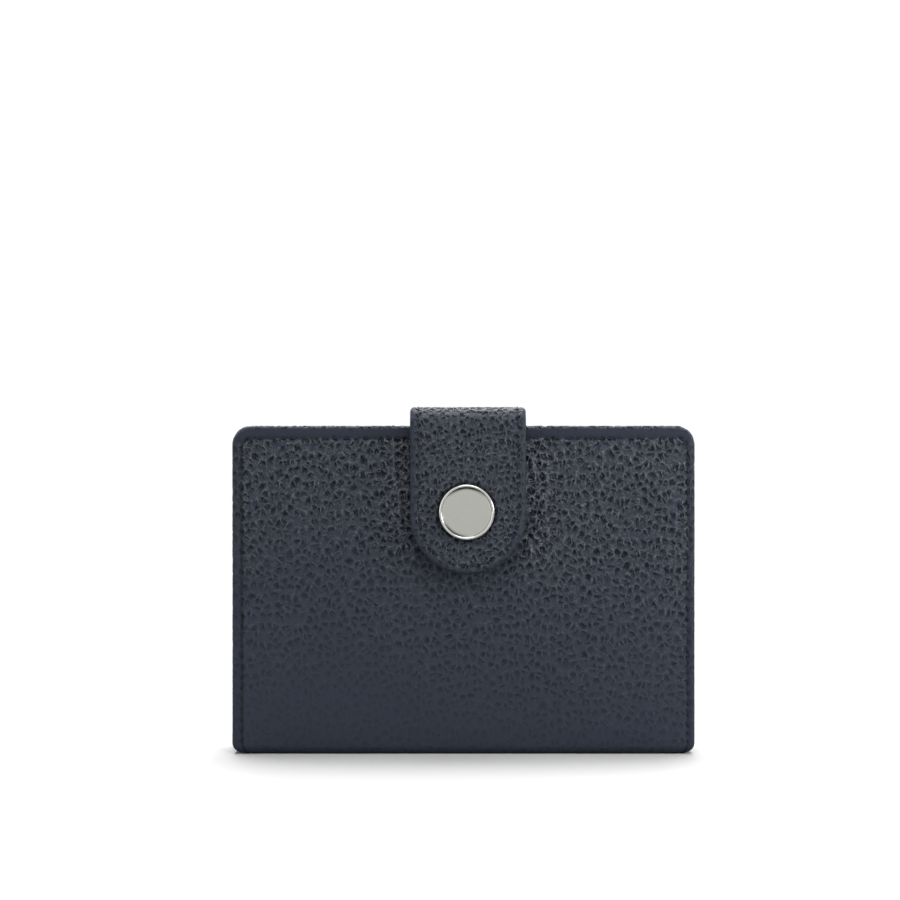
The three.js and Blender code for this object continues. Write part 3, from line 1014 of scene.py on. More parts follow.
@dataclass
class Case:
    """The stiff leather cover, from the front edge round the underside to the back edge."""

    roll: float = 1.15
    shell: float = 2.15
    lining: float = 0.5
    lining_inset: float = 3.0
    spine_radius: float = 2.0
    corner: float = 4.3
    foot_corner: float = 2.6
    grid: float = 0.34
    seam_top: float = 2.85
    seam_left: float = 2.15
    seam_right: float = 1.6
    seam_corner: float = 2.2
    seam_stop: float = 5.7
    seam_start: float = 2.2
    groove: float = 0.22
    groove_width: float = 0.42
    band: float = 0.16
    fullness: float = 0.22
    ripple: float = 0.05
    wrinkle: float = 0.42
    wrinkle_sink: float = 0.2
    fold_start: Span = (4.0, 1.0)
    fold_end: Span = (1.2, 6.0)
    crease_reach: float = 4.5
    back_origin: float = 240.0
    lower_fade: Span = (6.0, 34.0)
    upper_fade: Span = (30.0, 66.0)
    rim_grain: float = 1.15

    def __post_init__(self) -> None:
        """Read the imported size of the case."""
        low, high = box_mm("front_cover_leather")
        back = box_mm("back_cover_leather")[1]
        self.front_y = float(low[1])
        self.back_y = float(back[1])
        self.half_width = float(high[0])
        self.height = float(high[2])
        self.middle_y = (self.front_y + self.back_y) / 2

    @property
    def depth(self) -> float:
        """Outside depth of the closed case."""
        return self.back_y - self.front_y

    def narrowing(self, z: np.ndarray) -> np.ndarray:
        """Draw the sheet in round the underside's corners.

        Args:
            z: heights above the floor.

        Returns:
            Shares of the full width.
        """
        under = np.clip(self.foot_corner - z, 0, self.foot_corner)
        inset = self.foot_corner - np.sqrt(np.maximum(self.foot_corner**2 - under**2, 0))
        return 1 - inset / self.half_width

    def line(self, front: bool) -> SideLine:
        """Side line of one half, from the middle of the underside up to the top edge.

        Args:
            front: the front half, or else the back one.

        Returns:
            The line of its outer face.
        """
        flat = self.depth / 2 - self.spine_radius
        quarter = math.pi / 2
        rise = self.height - self.spine_radius
        legs = ((flat, 0.0), (self.spine_radius * quarter, -quarter if front else quarter), (rise, 0.0))
        return SideLine((self.middle_y, 0.0), math.pi if front else 0.0, 1 if front else -1, legs)

    def seam_distance(self, x: np.ndarray, along: np.ndarray, length: float) -> np.ndarray:
        """Distance inside the seam line, negative between it and the edge.

        Args:
            x: distance from the sheet's middle.
            along: distance from the split.
            length: length from the split to the top edge.

        Returns:
            The distances.
        """
        left = x + self.half_width - self.seam_left
        right = self.half_width - self.seam_right - x
        top = length - self.seam_top - along
        side = np.minimum(left, right)
        bend = self.seam_corner
        near = (side < bend) & (top < bend)
        round_in = bend - np.hypot(bend - side, bend - top)
        return np.where(near, round_in, np.minimum(side, top))

    def beside_strap(self, x: np.ndarray, z: np.ndarray) -> np.ndarray:
        """How much the leather is creased by the strap beside it.

        Args:
            x: distance from the case's middle.
            z: height above the floor.

        Returns:
            Amounts from 0 to 1.
        """
        low, high = box_mm("strap_flap_leather")
        centre = (low[0] + high[0]) / 2
        away = np.abs(x - centre) - (high[0] - low[0]) / 2
        near = np.exp(-(((away - 2.0) / self.crease_reach) ** 2))
        return near * step(z, low[2] - 4, low[2] + 10)

    def half(self, front: bool) -> Panel:
        """One half of the outer leather.

        Args:
            front: the front half, or else the back one.

        Returns:
            The panel, ready to build.
        """
        line = self.line(front)
        length = line.length
        mirror = 1 if front else -1

        def relief(x: np.ndarray, along: np.ndarray, inset: np.ndarray) -> np.ndarray:
            """Seam groove, pressed band and a slight fullness of the face.

            Args:
                x: distance from the sheet's middle.
                along: distance from the split.
                inset: distance in from the edge.

            Returns:
                Heights above the plain face.
            """
            seam = self.seam_distance(x * mirror, along, length)
            groove = -self.groove * np.exp(-((seam / self.groove_width) ** 2))
            band = -self.band * (1 - step(seam, -0.5, 0.6)) * step(inset, 0.2, 1.0)
            fullness = self.fullness * step(seam, 0.0, 9.0)
            ripple = self.ripple * np.sin(x * 0.21 + 0.9) * np.sin(along * 0.17 + 0.4) * step(seam, 0, 4)
            creased = self.beside_strap(x * mirror, along - length + self.height) * step(seam, 0.3, 1.5)
            phase = 1.2 * (x * mirror + 0.5 * along)
            phase += 1.1 * np.sin(along * 0.3) + 0.5 * np.sin(along * 0.8 + x)
            wrinkle = creased * (self.wrinkle * (1 - np.abs(np.sin(phase))) - self.wrinkle_sink)
            standing = step(along - length + self.height, 0.0, 6.0)
            return groove + (band + fullness + ripple) * standing + wrinkle

        def grain(x: np.ndarray, along: np.ndarray, inset: np.ndarray) -> np.ndarray:
            """Grain strength: full at the top, nearly gone above the fold, pressed out in the band.

            Args:
                x: distance from the sheet's middle.
                along: distance from the split.
                inset: distance in from the edge.

            Returns:
                Strengths.
            """
            seam = self.seam_distance(x * mirror, along, length)
            lift = along - (length - self.height)
            reach = lift + 4.0 * np.sin(x * 0.09 + 1.1) + 14.0 * step(x * mirror, 0.0, 40.0)
            fade = 0.1 + 0.38 * step(reach, *self.lower_fade) + 0.52 * step(reach, *self.upper_fade)
            sides = 0.5 * step(length - along, self.seam_top, self.seam_top + 1.5)
            band = np.maximum(step(seam, -0.55, 0.35), sides)
            rim = (1 - step(inset, 0.2, 0.95)) * (1 - 0.75 * step(length - along, 1.0, 4.0))
            fade = fade * (1 + 0.6 * self.beside_strap(x * mirror, lift))
            return fade * np.maximum(band, self.rim_grain * rim) + 0.05

        def shade(x: np.ndarray, along: np.ndarray, inset: np.ndarray) -> np.ndarray:
            """Painted shade in the seam's crease and beside the strap, and a slightly darker band outside
            the seam.

            Args:
                x: distance from the sheet's middle.
                along: distance from the split.
                inset: distance in from the edge.

            Returns:
                Amounts of darkening.
            """
            seam = self.seam_distance(x * mirror, along, length)
            lift = along - (length - self.height)
            # Painted shade in the seam's crease, plus a slight darkening of the band outside the seam.
            crease = 0.75 * np.exp(-(((seam - 0.12) / 0.3) ** 2)) + 0.14 * (1 - step(seam, -0.4, 0.2))
            # Painted shade beside the strap, where its overhang would shadow the cover.
            return crease + 0.15 * self.beside_strap(x * mirror, lift)

        return Panel(
            name="front_cover_and_underside" if front else "back_cover_and_underside",
            line=line,
            centre=0.0,
            half_width=self.half_width,
            corner=self.corner,
            top=0.0,
            bottom=self.shell,
            roll=min(self.roll, self.shell / 2),
            grid=self.grid,
            narrowing=self.narrowing,
            relief=relief,
            grain=grain,
            shade=shade,
            origin=0.0 if front else self.back_origin,
        )

    def lining_half(self, front: bool) -> Panel:
        """One half of the lining inside the leather.

        Args:
            front: the front half, or else the back one.

        Returns:
            The panel, ready to build.
        """
        return Panel(
            name="front_lining" if front else "back_lining",
            line=self.line(front),
            centre=0.0,
            half_width=self.half_width - self.lining_inset,
            corner=self.corner - 1.0,
            top=self.shell - 0.1,
            bottom=self.shell + self.lining,
            roll=0.2,
            grid=2.0,
            end_inset=self.lining_inset,
            narrowing=self.narrowing,
        )

    def stitches(self, panel: Panel, front: bool) -> bpy.types.Object:
        """The seam's stitches round one half.

        Args:
            panel: the leather they are sewn into.
            front: the front half, or else the back one.

        Returns:
            The new piece.
        """
        mirror = 1 if front else -1
        left = -self.half_width + self.seam_left
        right = self.half_width - self.seam_right
        top = panel.length - self.seam_top
        base = panel.length - self.height
        bend = self.seam_corner
        row = [(left, base + self.seam_start), (left, top - bend)]
        row += arc((left + bend, top - bend), bend, 180, 90, 5)
        row += arc((right - bend, top - bend), bend, 90, 0, 5)
        row.append((right, base + self.seam_stop))
        name = "front_seam" if front else "back_seam"
        sewing = Stitching(name, panel, depth=0.2, seed=5 if front else 6)
        sewing.lay([(x * mirror, along) for x, along in row])
        return sewing.build()

    def hang(self, piece: bpy.types.Object, front: bool) -> None:
        """Ride on the case, or, for the front half, stay in place with the transform applied.

        Args:
            piece: the piece to hang.
            front: whether it belongs to the front half.
        """
        if not front:
            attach(piece, Body.CASE.value)
            return
        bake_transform(piece)

    def build(self) -> list[bpy.types.Object]:
        """Make and hang the leather, lining and seams of both halves.

        Returns:
            The new pieces.
        """
        made = []
        for front in (True, False):
            leather = self.half(front)
            cover = leather.build()
            PebbledLeather().dress(cover)
            PebbledLeather().emboss(cover)
            lining = self.lining_half(front).build()
            SmoothLeather().dress(lining)
            seam = self.stitches(leather, front)
            for piece in (cover, lining, seam):
                self.hang(piece, front)
                made.append(piece)
            if front:
                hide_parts("front_cover_leather")
                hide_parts("front_cover_lining")
            else:
                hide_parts("back_cover_leather", "spine_leather")
                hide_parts("back_cover_lining", "spine_lining")
        return made


@dataclass
class Strap:
    """The closing strap: sewn to the back, over the top, down the front to its round tip."""

    roll: float = 1.05
    shell: float = 2.2
    lining: float = 0.3
    bend: float = 4.3
    grid: float = 0.27
    seam: float = 1.9
    foot_corner: float = 4.0
    groove: float = 0.14
    dent: float = 0.5
    fullness: float = 0.16
    bridge_sink: float = 0.12
    # Strength of the painted contact shadow round the snap's cap.
    contact_shadow: float = 1.25
    seam_shade: float = 0.5
    lining_inset: float = 1.3
    seam_start: float = 0.3
    origin: float = 120.0
    fineness: float = 1.25
    give_over: float = 9.0
    give_down: float = 7.0
    give_foot: float = 3.0

    def __post_init__(self) -> None:
        """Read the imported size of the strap."""
        low, high = box_mm("strap_flap_leather")
        base_low, base_high = box_mm("strap_base_leather")
        self.front_y = float(low[1])
        self.back_y = float(base_high[1])
        self.tip = float(low[2])
        self.foot = float(base_low[2])
        self.top = float(box_mm("strap_bridge_leather")[1][2])
        self.centre = float(low[0] + high[0]) / 2
        self.half_width = float(high[0] - low[0]) / 2
        self.middle_y = (self.front_y + self.back_y) / 2
        cap_low, cap_high = box_mm("snap_cap")
        self.snap_x = float(cap_low[0] + cap_high[0]) / 2
        self.snap_z = float(cap_low[2] + cap_high[2]) / 2
        self.snap_radius = float(cap_high[0] - cap_low[0]) / 2
        socket_low, socket_high = box_mm("snap_socket")
        self.socket_radius = float(socket_high[0] - socket_low[0]) / 2 - 0.1
        self.socket_span = (float(socket_low[1]) + 0.05, float(socket_high[1]) + 2.0)

    def line(self, front: bool) -> SideLine:
        """Side line of one half, from the middle of the bridge to its free end.

        Args:
            front: the half with the round tip, or else the half sewn to the back.

        Returns:
            The line of its outer face.
        """
        flat = (self.back_y - self.front_y) / 2 - self.bend
        quarter = math.pi / 2
        drop = self.top - self.bend - (self.tip if front else self.foot)
        legs = ((flat, 0.0), (self.bend * quarter, quarter if front else -quarter), (drop, 0.0))
        return SideLine((self.middle_y, self.top), math.pi if front else 0.0, -1 if front else 1, legs)

    def half(self, front: bool) -> Panel:
        """One half of the strap's leather.

        Args:
            front: the half with the round tip, or else the half sewn to the back.

        Returns:
            The panel, ready to build.
        """

        def beside_cap(x: np.ndarray, along: np.ndarray) -> np.ndarray:
            """Distance outside the snap's cap.

            Args:
                x: distance from the strap's middle.
                along: distance from the split.

            Returns:
                The distances, far off on the back half.
            """
            middle = self.line(front).length - (self.snap_z - self.tip)
            away = np.hypot(x - (self.snap_x - self.centre), along - middle) - self.snap_radius
            return away if front else away + 100

        def relief(x: np.ndarray, along: np.ndarray, inset: np.ndarray) -> np.ndarray:
            """Stitch groove, a padded middle and the dent that the cap presses.

            Args:
                x: distance from the sheet's middle.
                along: distance from the split.
                inset: distance in from the edge.

            Returns:
                Heights above the plain face.
            """
            groove = -self.groove * np.exp(-(((inset - self.seam) / 0.35) ** 2))
            dent = -self.dent * np.exp(-((beside_cap(x, along) / 0.5) ** 2))
            fullness = self.fullness * step(inset, self.seam, self.seam + 4.5) * step(along, 8.0, 18.0)
            return groove + dent + fullness - self.bridge_sink * (1 - step(along, 4.0, 16.0))

        def grain(x: np.ndarray, along: np.ndarray, inset: np.ndarray) -> np.ndarray:
            """Grain strength, lower on the rolled edge."""
            return 0.35 + 0.65 * step(inset, 0.6, 1.8)

        def shade(x: np.ndarray, along: np.ndarray, inset: np.ndarray) -> np.ndarray:
            """Painted shade along the stitched line and a painted contact shadow round the cap."""
            # Painted contact shadow: a dark ring round the cap's edge.
            contact_shadow = 1 - step(np.abs(beside_cap(x, along)), 0.3, 0.6)
            return self.seam_shade * np.exp(-(((inset - self.seam) / 0.3) ** 2)) + self.contact_shadow * contact_shadow

        return Panel(
            name="strap_flap_and_bridge" if front else "strap_base_and_bridge",
            line=self.line(front),
            centre=self.centre,
            half_width=self.half_width,
            corner=self.half_width if front else self.foot_corner,
            top=0.0,
            bottom=self.shell,
            roll=self.roll,
            grid=self.grid,
            relief=relief,
            grain=grain,
            shade=shade,
            direction=-1 if front else 1,
            origin=self.origin,
            fineness=self.fineness,
        )

    def lining_half(self, front: bool) -> Panel:
        """One half of the strap's lining.

        Args:
            front: the half with the round tip, or else the half sewn to the back.

        Returns:
            The panel, ready to build.
        """
        inset = self.lining_inset
        return Panel(
            name="strap_flap_lining_leather" if front else "strap_base_lining_leather",
            line=self.line(front),
            centre=self.centre,
            half_width=self.half_width - inset,
            corner=(self.half_width if front else self.foot_corner) - inset,
            top=self.shell - 0.1,
            bottom=self.shell + self.lining,
            roll=0.15,
            grid=1.0,
            end_inset=inset,
        )

    def stitches(self, panel: Panel, front: bool) -> bpy.types.Object:
        """The row of stitches round one half.

        Args:
            panel: the leather they are sewn into.
            front: the half with the round tip, or else the half sewn to the back.

        Returns:
            The new piece.
        """
        edge = self.half_width - self.seam
        corner = panel.corner - self.seam
        end = panel.length - self.seam
        row = [(-edge, self.seam_start)]
        row += arc((-edge + corner, end - corner), corner, 180, 90, 15)
        row += arc((edge - corner, end - corner), corner, 90, 0, 15)
        row.append((edge, self.seam_start))
        name = "strap_flap_seam" if front else "strap_base_seam"
        sewing = Stitching(name, panel, pitch=2.35, radius=0.19, depth=0.12, seed=8 if front else 9)
        sewing.lay(row)
        return sewing.build()

    def hang(self, piece: bpy.types.Object, front: bool) -> None:
        """Apply the piece's transform; the ends of the bend round the arch are worked out but not used.

        Args:
            piece: the piece to hang.
            front: whether it belongs to the half with the round tip.
        """
        arch = self.top - self.bend
        if front:
            y = self.front_y + self.bend
            start = Vector((0, y + self.give_over, arch + self.bend)) * MM
            end = Vector((0, y - self.bend, arch - self.give_down)) * MM
            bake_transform(piece)
        else:
            y = self.back_y - self.bend
            start = Vector((0, y + self.bend, arch - self.give_foot)) * MM
            end = Vector((0, y - self.give_over, arch + self.bend)) * MM
            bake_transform(piece)

    def build(self) -> list[bpy.types.Object]:
        """Make and hang the strap's leather, lining and stitches.

        Returns:
            The new pieces.
        """
        made = []
        for front in (True, False):
            leather = self.half(front)
            strap = leather.build()
            PebbledLeather().dress(strap)
            PebbledLeather().emboss(strap)
            lining = self.lining_half(front).build()
            SmoothLeather().dress(lining)
            seam = self.stitches(leather, front)
            if front:
                for piece in (strap, lining):
                    bore(piece, (self.snap_x, self.snap_z), self.socket_radius, self.socket_span)
            for piece in (strap, lining, seam):
                self.hang(piece, front)
                made.append(piece)
            if front:
                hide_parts("strap_flap_leather", "strap_bridge_leather")
                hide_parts("strap_flap_lining", "strap_bridge_lining")
            else:
                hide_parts("strap_base_leather")
                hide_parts("strap_base_lining")
        return made


@dataclass
class Snap:
    """The snap fastener's turned metal parts, in millimetres."""

    segments: int = 128
    bead: float = 0.34
    shoulder: float = 0.16
    groove: float = 0.54
    crown: float = 0.16
    cap_depth: float = 1.62
    post: float = 1.2
    post_end: float = 2.8
    cup_roll: float = 0.4
    mouth_roll: float = 0.25
    head_roll: float = 0.45
    flange_roll: float = 0.22

    def __post_init__(self) -> None:
        """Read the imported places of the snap's parts."""
        low, high = box_mm("snap_cap")
        self.centre_x = float(low[0] + high[0]) / 2
        self.centre_z = float(low[2] + high[2]) / 2
        self.cap_radius = float(high[0] - low[0]) / 2
        self.cap_face = float(low[1])
        self.socket = box_mm("snap_socket")
        self.stud = box_mm("snap_stud")
        self.rivet = box_mm("snap_stud_rivet")
        self.spring = box_mm("snap_spring")

    def turned(
        self,
        name: str,
        outline: list[tuple[float, float]],
        painted_shade: Callable[[np.ndarray, np.ndarray], np.ndarray] | None = None,
    ) -> bpy.types.Object:
        """Turn an outline of (radius, depth) points about the snap's axis.

        Args:
            name: the piece's name.
            outline: points from the front of the axis round to the back of it.
            painted_shade: painted shade, as darkening at a radius and an angle round the axis.

        Returns:
            The new piece.
        """
        rows = np.array(outline)
        angles = np.linspace(0, 2 * math.pi, self.segments, endpoint=False)
        x = self.centre_x + rows[:, :1] * np.cos(angles)
        z = self.centre_z + rows[:, :1] * np.sin(angles)
        y = np.repeat(rows[:, 1:], self.segments, axis=1)
        points = np.stack([x, y, z], axis=-1).reshape(-1, 3) * MM
        faces = quads(len(rows), self.segments, loop=True)
        values = {FLAT: points / MM}
        if painted_shade:
            values[SHADE] = painted_shade(rows[:, :1], angles[None]).ravel()
        piece = make_piece(name, points, faces, values)
        piece.data.set_sharp_from_angle(angle=math.radians(60))
        SatinNickel().dress(piece)
        return piece

    def cap(self) -> bpy.types.Object:
        """Flat-faced cap with a fine groove inside its beaded rim.

        Returns:
            The new piece.
        """
        front, edge, bead, shoulder = self.cap_face, self.cap_radius, self.bead, self.shoulder
        ring = edge - bead
        reach = ring - self.groove
        back, post_end = front + self.cap_depth, front + self.post_end
        dome = np.linspace(0, 1, 13)
        outline = [(reach * share, front + 0.05 + self.crown * share**4) for share in dome]
        outline += arc((reach, front + 0.05 + self.crown + shoulder), shoulder, -70, -10, 4)
        outline += [(ring - 0.36, front + 0.48)]
        outline += arc((ring, front + bead), bead, -175, 0, 14)
        outline += [(edge, back - 0.27), (edge - 0.25, back)]
        outline += [(self.post, back), (self.post, post_end), (0.0, post_end)]

        def painted_shade(radius: np.ndarray, angle: np.ndarray) -> np.ndarray:
            """Painted shade in the groove, at the top and low on the left.

            Args:
                radius: distance from the axis.
                angle: turn round the axis.

            Returns:
                Amounts of darkening.
            """
            # Painted shade: dark arcs in the groove, at the top and low on the left.
            top = np.exp(-(((angle - math.pi / 2) / 0.75) ** 4))
            low = np.exp(-(((angle - math.radians(238)) / 0.5) ** 4))
            groove = np.exp(-(((radius - ring + 0.46) / 0.2) ** 4))
            return groove * np.maximum(top, 0.75 * low)

        piece = self.turned("snap_cap_turned", outline, painted_shade)
        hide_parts("snap_cap")
        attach(piece, Body.FLAP.value)
        return piece

    def socket_cup(self) -> bpy.types.Object:
        """Cup with a rolled mouth.

        Returns:
            The new piece.
        """
        low, high = self.socket
        floor, mouth = float(low[1]), float(high[1])
        edge = float(high[0] - low[0]) / 2
        outline = [(0.0, floor), (edge - 0.3, floor), (edge, floor + 0.3)]
        outline += arc((edge - self.cup_roll, mouth - self.cup_roll), self.cup_roll, 0, 90, 6)
        outline += [(3.2, mouth - 0.05)]
        outline += arc((2.95, mouth - self.mouth_roll), self.mouth_roll, 60, 180, 6)
        outline += [(3.5, mouth - 0.55), (3.6, floor + 0.45), (0.0, floor + 0.4)]
        piece = self.turned("snap_socket_turned", outline)
        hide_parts("snap_socket")
        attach(piece, Body.FLAP.value)
        return piece

    def spring_ring(self) -> bpy.types.Object:
        """Open ring of round wire inside the cup.

        Returns:
            The new piece.
        """
        low, high = self.spring
        wire = float(high[1] - low[1]) / 2
        depth = float(high[1] + low[1]) / 2
        radius = float(high[0] - low[0]) / 2 - wire
        around, steps = 12, 64
        angle = np.radians(np.linspace(-60, 240, steps))[:, None]
        turn = np.linspace(0, 2 * math.pi, around, endpoint=False)[None]
        reach = radius + wire * np.cos(turn)
        y = depth + wire * np.sin(turn) + 0 * angle
        parts = (self.centre_x + reach * np.cos(angle), y, self.centre_z + reach * np.sin(angle))
        points = np.stack(parts, axis=-1).reshape(-1, 3) * MM
        piece = make_piece("snap_spring_wire", points, quads(steps, around, loop=True))
        SatinNickel().dress(piece)
        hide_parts("snap_spring")
        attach(piece, Body.FLAP.value)
        return piece

    def stud_head(self) -> bpy.types.Object:
        """Stud on the front cover, with a round flange and a rolled head.

        Returns:
            The new piece.
        """
        low, high = self.stud
        tip, seat = float(low[1]), float(high[1])
        outline = [(0.0, tip + 0.25), (0.85, tip + 0.2), (1.0, tip + 0.05)]
        outline += arc((1.45, tip + self.head_roll), self.head_roll, -100, 60, 10)
        outline += [(1.52, tip + 0.95), (1.55, seat - 0.62)]
        outline += [(1.9, seat - 0.5), (4.0, seat - 0.42)]
        outline += arc((4.15, seat - self.flange_roll), self.flange_roll, -90, 0, 5)
        outline += [(4.37, seat + 0.1), (0.0, seat + 0.1)]
        piece = self.turned("snap_stud_turned", outline)
        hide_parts("snap_stud")
        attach(piece, Body.COVER.value)
        return piece

    def rivet_post(self) -> bpy.types.Object:
        """Rivet behind the front leather.

        Returns:
            The new piece.
        """
        low, high = self.rivet
        front, back = float(low[1]), float(high[1])
        edge = float(high[0] - low[0]) / 2
        outline = [(0.0, front + 0.3), (0.9, front + 0.3), (1.0, front + 0.4), (1.0, back - 0.4)]
        outline += [(edge - 0.1, back - 0.4), (edge, back - 0.3), (edge, back - 0.1)]
        outline += [(edge - 0.1, back), (0.0, back)]
        piece = self.turned("snap_rivet_turned", outline)
        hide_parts("snap_stud_rivet")
        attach(piece, Body.COVER.value)
        return piece

    def build(self) -> list[bpy.types.Object]:
        """Make and hang the five parts of the snap."""
        return [self.cap(), self.socket_cup(), self.spring_ring(), self.stud_head(), self.rivet_post()]


@dataclass
class Pockets:
    """Divider leaves with thumb notches, and the folded cloth at their sides, in millimetres."""

    count: int = 5
    notch_width: float = 30.0
    notch_depth: float = 8.0
    corner: float = 3.0
    seam: float = 1.8
    cloth: float = 0.34
    fold_x: float = 44.0
    outer_x: float = 49.2
    tuck: float = 0.6
    lip: float = 1.2
    edge: float = 0.32
    seam_end: float = 2.0
    clear: float = 0.3
    dip: float = 3.2
    fold_radius: float = 0.05
    wave: float = 0.05
    columns: int = 21
    rows: int = 25
    slack: tuple[float, ...] = (0.0, 0.02, 0.06, 0.12, 0.2, 0.42)

    def leaf_body(self, number: int) -> str:
        """Name of the body that a divider rides on.

        Args:
            number: its place, counted from the back; 0 is the case.

        Returns:
            The body's name.
        """
        if number == 0:
            return Body.CASE.value
        return Body.COVER.value if number > self.count else f"divider_{number}_body"

    def notch(self, grow: float = 0.0) -> tuple[float, float]:
        """Size and place of the thumb notch.

        Args:
            grow: how much wider than the notch itself.

        Returns:
            Its radius, and its centre's height above the leaf's top edge.
        """
        half = self.notch_width / 2
        radius = (half**2 + self.notch_depth**2) / (2 * self.notch_depth)
        return radius + grow, radius - self.notch_depth

    def outline(self, half: float, foot: float, top: float) -> list[tuple[float, float]]:
        """Front view of a leaf, anticlockwise from its lower left.

        Args:
            half: half of its width.
            foot: height of its lower edge.
            top: height of its upper edge.

        Returns:
            Its corners.
        """
        radius, rise = self.notch()
        lip = self.lip
        reach = math.sqrt((radius + lip) ** 2 - (rise + lip) ** 2)
        lean = math.degrees(math.atan2(rise + lip, reach))
        points = [(-half, foot), (half, foot)]
        points += arc((half - self.corner, top - self.corner), self.corner, 0, 90, 8)
        points += arc((reach, top - lip), lip, 90, 180 - lean, 4)
        points += arc((0.0, top + rise), radius, -lean, -180 + lean, 32)[1:-1]
        points += arc((-reach, top - lip), lip, lean, 90, 4)
        points += arc((-half + self.corner, top - self.corner), self.corner, 90, 180, 8)
        return points

    def leaf(self, number: int) -> bpy.types.Object:
        """One divider with softened edges.

        Args:
            number: its place, counted from the back.

        Returns:
            The new piece.
        """
        low, high = box_mm(f"divider_{number}")
        outline = self.outline(float(high[0]), float(low[2]), float(high[2]))
        mesh = bpy.data.meshes.new(f"divider_leaf_{number}")
        shape = bmesh.new()
        front = [shape.verts.new((x * MM, low[1] * MM, z * MM)) for x, z in outline]
        back = [shape.verts.new((x * MM, high[1] * MM, z * MM)) for x, z in outline]
        shape.faces.new(front)
        shape.faces.new(list(reversed(back)))
        total = len(outline)
        for k in range(total):
            nxt = (k + 1) % total
            shape.faces.new([front[nxt], front[k], back[k], back[nxt]])
        bmesh.ops.recalc_face_normals(shape, faces=shape.faces)
        rims = [edge for edge in shape.edges if abs(edge.verts[0].co.y - edge.verts[1].co.y) < 1e-7]
        bmesh.ops.bevel(shape, geom=rims, offset=self.edge * MM, segments=3, affect="EDGES", profile=0.5)
        shape.to_mesh(mesh)
        shape.free()
        keep_places(mesh)
        mesh.shade_smooth()
        mesh.set_sharp_from_angle(angle=math.radians(40))
        piece = place_object(mesh.name, mesh)
        DividerLeather().dress(piece)
        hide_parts(f"divider_{number}")
        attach(piece, self.leaf_body(number))
        return piece

    def leaf_seam(self, number: int) -> list[bpy.types.Object]:
        """Stitches along the top edge and notch of one divider, on both faces.

        Args:
            number: its place, counted from the back.

        Returns:
            The new pieces.
        """
        low, high = box_mm(f"divider_{number}")
        top, half = float(high[2]), float(high[0])
        radius, rise = self.notch(self.seam)
        level = top - self.seam
        lean = math.degrees(math.asin((rise + self.seam) / radius))
        row = [(-half + self.seam_end, level)]
        row += arc((0.0, top + rise), radius, 180 + lean, 360 - lean, 24)
        row.append((half - self.seam_end, level))
        sewn = []
        for face, heading in ((float(low[1]), 1), (float(high[1]), -1)):
            line = SideLine((face, 0.0), math.pi / 2, heading, ((float(high[2]), 0.0),))
            sheet = Panel("leaf", line, 0.0, half, 1.0, 0.0, 1.0, 0.1, 1.0)
            name = f"divider_seam_{'front' if heading > 0 else 'back'}_{number}"
            sewing = Stitching(name, sheet, radius=0.14, depth=0.02, seed=20 + number)
            sewing.lay(row)
            piece = sewing.build()
            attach(piece, self.leaf_body(number))
            sewn.append(piece)
        return sewn

    def gusset(self, number: int, side: int) -> bpy.types.Object:
        """One folded strip, bending from the leaf behind it to the leaf in front.

        Args:
            number: the pocket, counted from the back.
            side: -1 for the left and 1 for the right.

        Returns:
            The new piece.
        """
        word = "left" if side < 0 else "right"
        node = f"gusset_{word}_{number}"
        low, high = box_mm(node)
        front, back = float(low[1]), float(high[1]) - self.slack[number - 1]
        middle = (front + back) / 2
        half = (back - front) / 2 - self.cloth / 2
        foot, top = float(low[2]) - self.tuck, float(high[2])
        shares = np.linspace(-1, 1, self.columns)
        bend = np.sqrt(shares**2 + self.fold_radius**2) - self.fold_radius
        bend /= bend[-1]
        x = self.fold_x + self.clear + (self.outer_x - self.fold_x - self.clear) * bend
        y = middle + half * shares
        way = np.gradient(np.stack([x, y], axis=1), axis=0)
        way /= np.linalg.norm(way, axis=1, keepdims=True)
        normal = np.stack([-way[:, 1], way[:, 0]], axis=1)
        heights = np.linspace(0, 1, self.rows)
        wide, tall = len(x), len(heights)
        points = []
        dip = self.dip * (1 - bend) ** 1.5
        for face in (-1, 1):
            for share in heights:
                z = foot + (top - dip - foot) * share
                wave = self.wave * np.sin(share * 19 + number) * (1 - np.abs(shares))
                px = side * (x + normal[:, 0] * face * self.cloth / 2 + wave)
                py = y + normal[:, 1] * face * self.cloth / 2
                points.append(np.stack([px, py, z], axis=1))
        offset = wide * tall
        faces = quads(tall, wide) + quads(tall, wide, offset)
        for row in range(tall - 1):
            for col in (0, wide - 1):
                a = row * wide + col
                faces.append([a, a + wide, a + wide + offset, a + offset])
        for col in range(wide - 1):
            for row in (0, tall - 1):
                a = row * wide + col
                faces.append([a, a + 1, a + 1 + offset, a + offset])
        piece = make_piece(f"side_fold_{word}_{number}", np.concatenate(points) * MM, faces)
        FoldCloth().dress(piece)
        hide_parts(node)
        self.hang(piece, number, back, front)
        return piece

    def hang(self, piece: bpy.types.Object, number: int, back: float, front: float) -> None:
        """Apply a fold's transform; the share by which it would bend is worked out but not used.

        Args:
            piece: the fold.
            number: the pocket, counted from the back.
            back: depth of its rear edge; not used.
            front: depth of its front edge; not used.
        """
        held = (number - 1) / number
        share = float(np.interp(held, step(np.linspace(0, 1, 501), 0, 1), np.linspace(0, 1, 501)))
        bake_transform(piece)

    def build(self) -> list[bpy.types.Object]:
        """Make and hang every divider and side fold.

        Returns:
            The new pieces.
        """
        made = []
        for number in range(1, self.count + 1):
            made.append(self.leaf(number))
            made += self.leaf_seam(number)
        for number in range(1, self.count + 2):
            for side in (-1, 1):
                made.append(self.gusset(number, side))
        return made


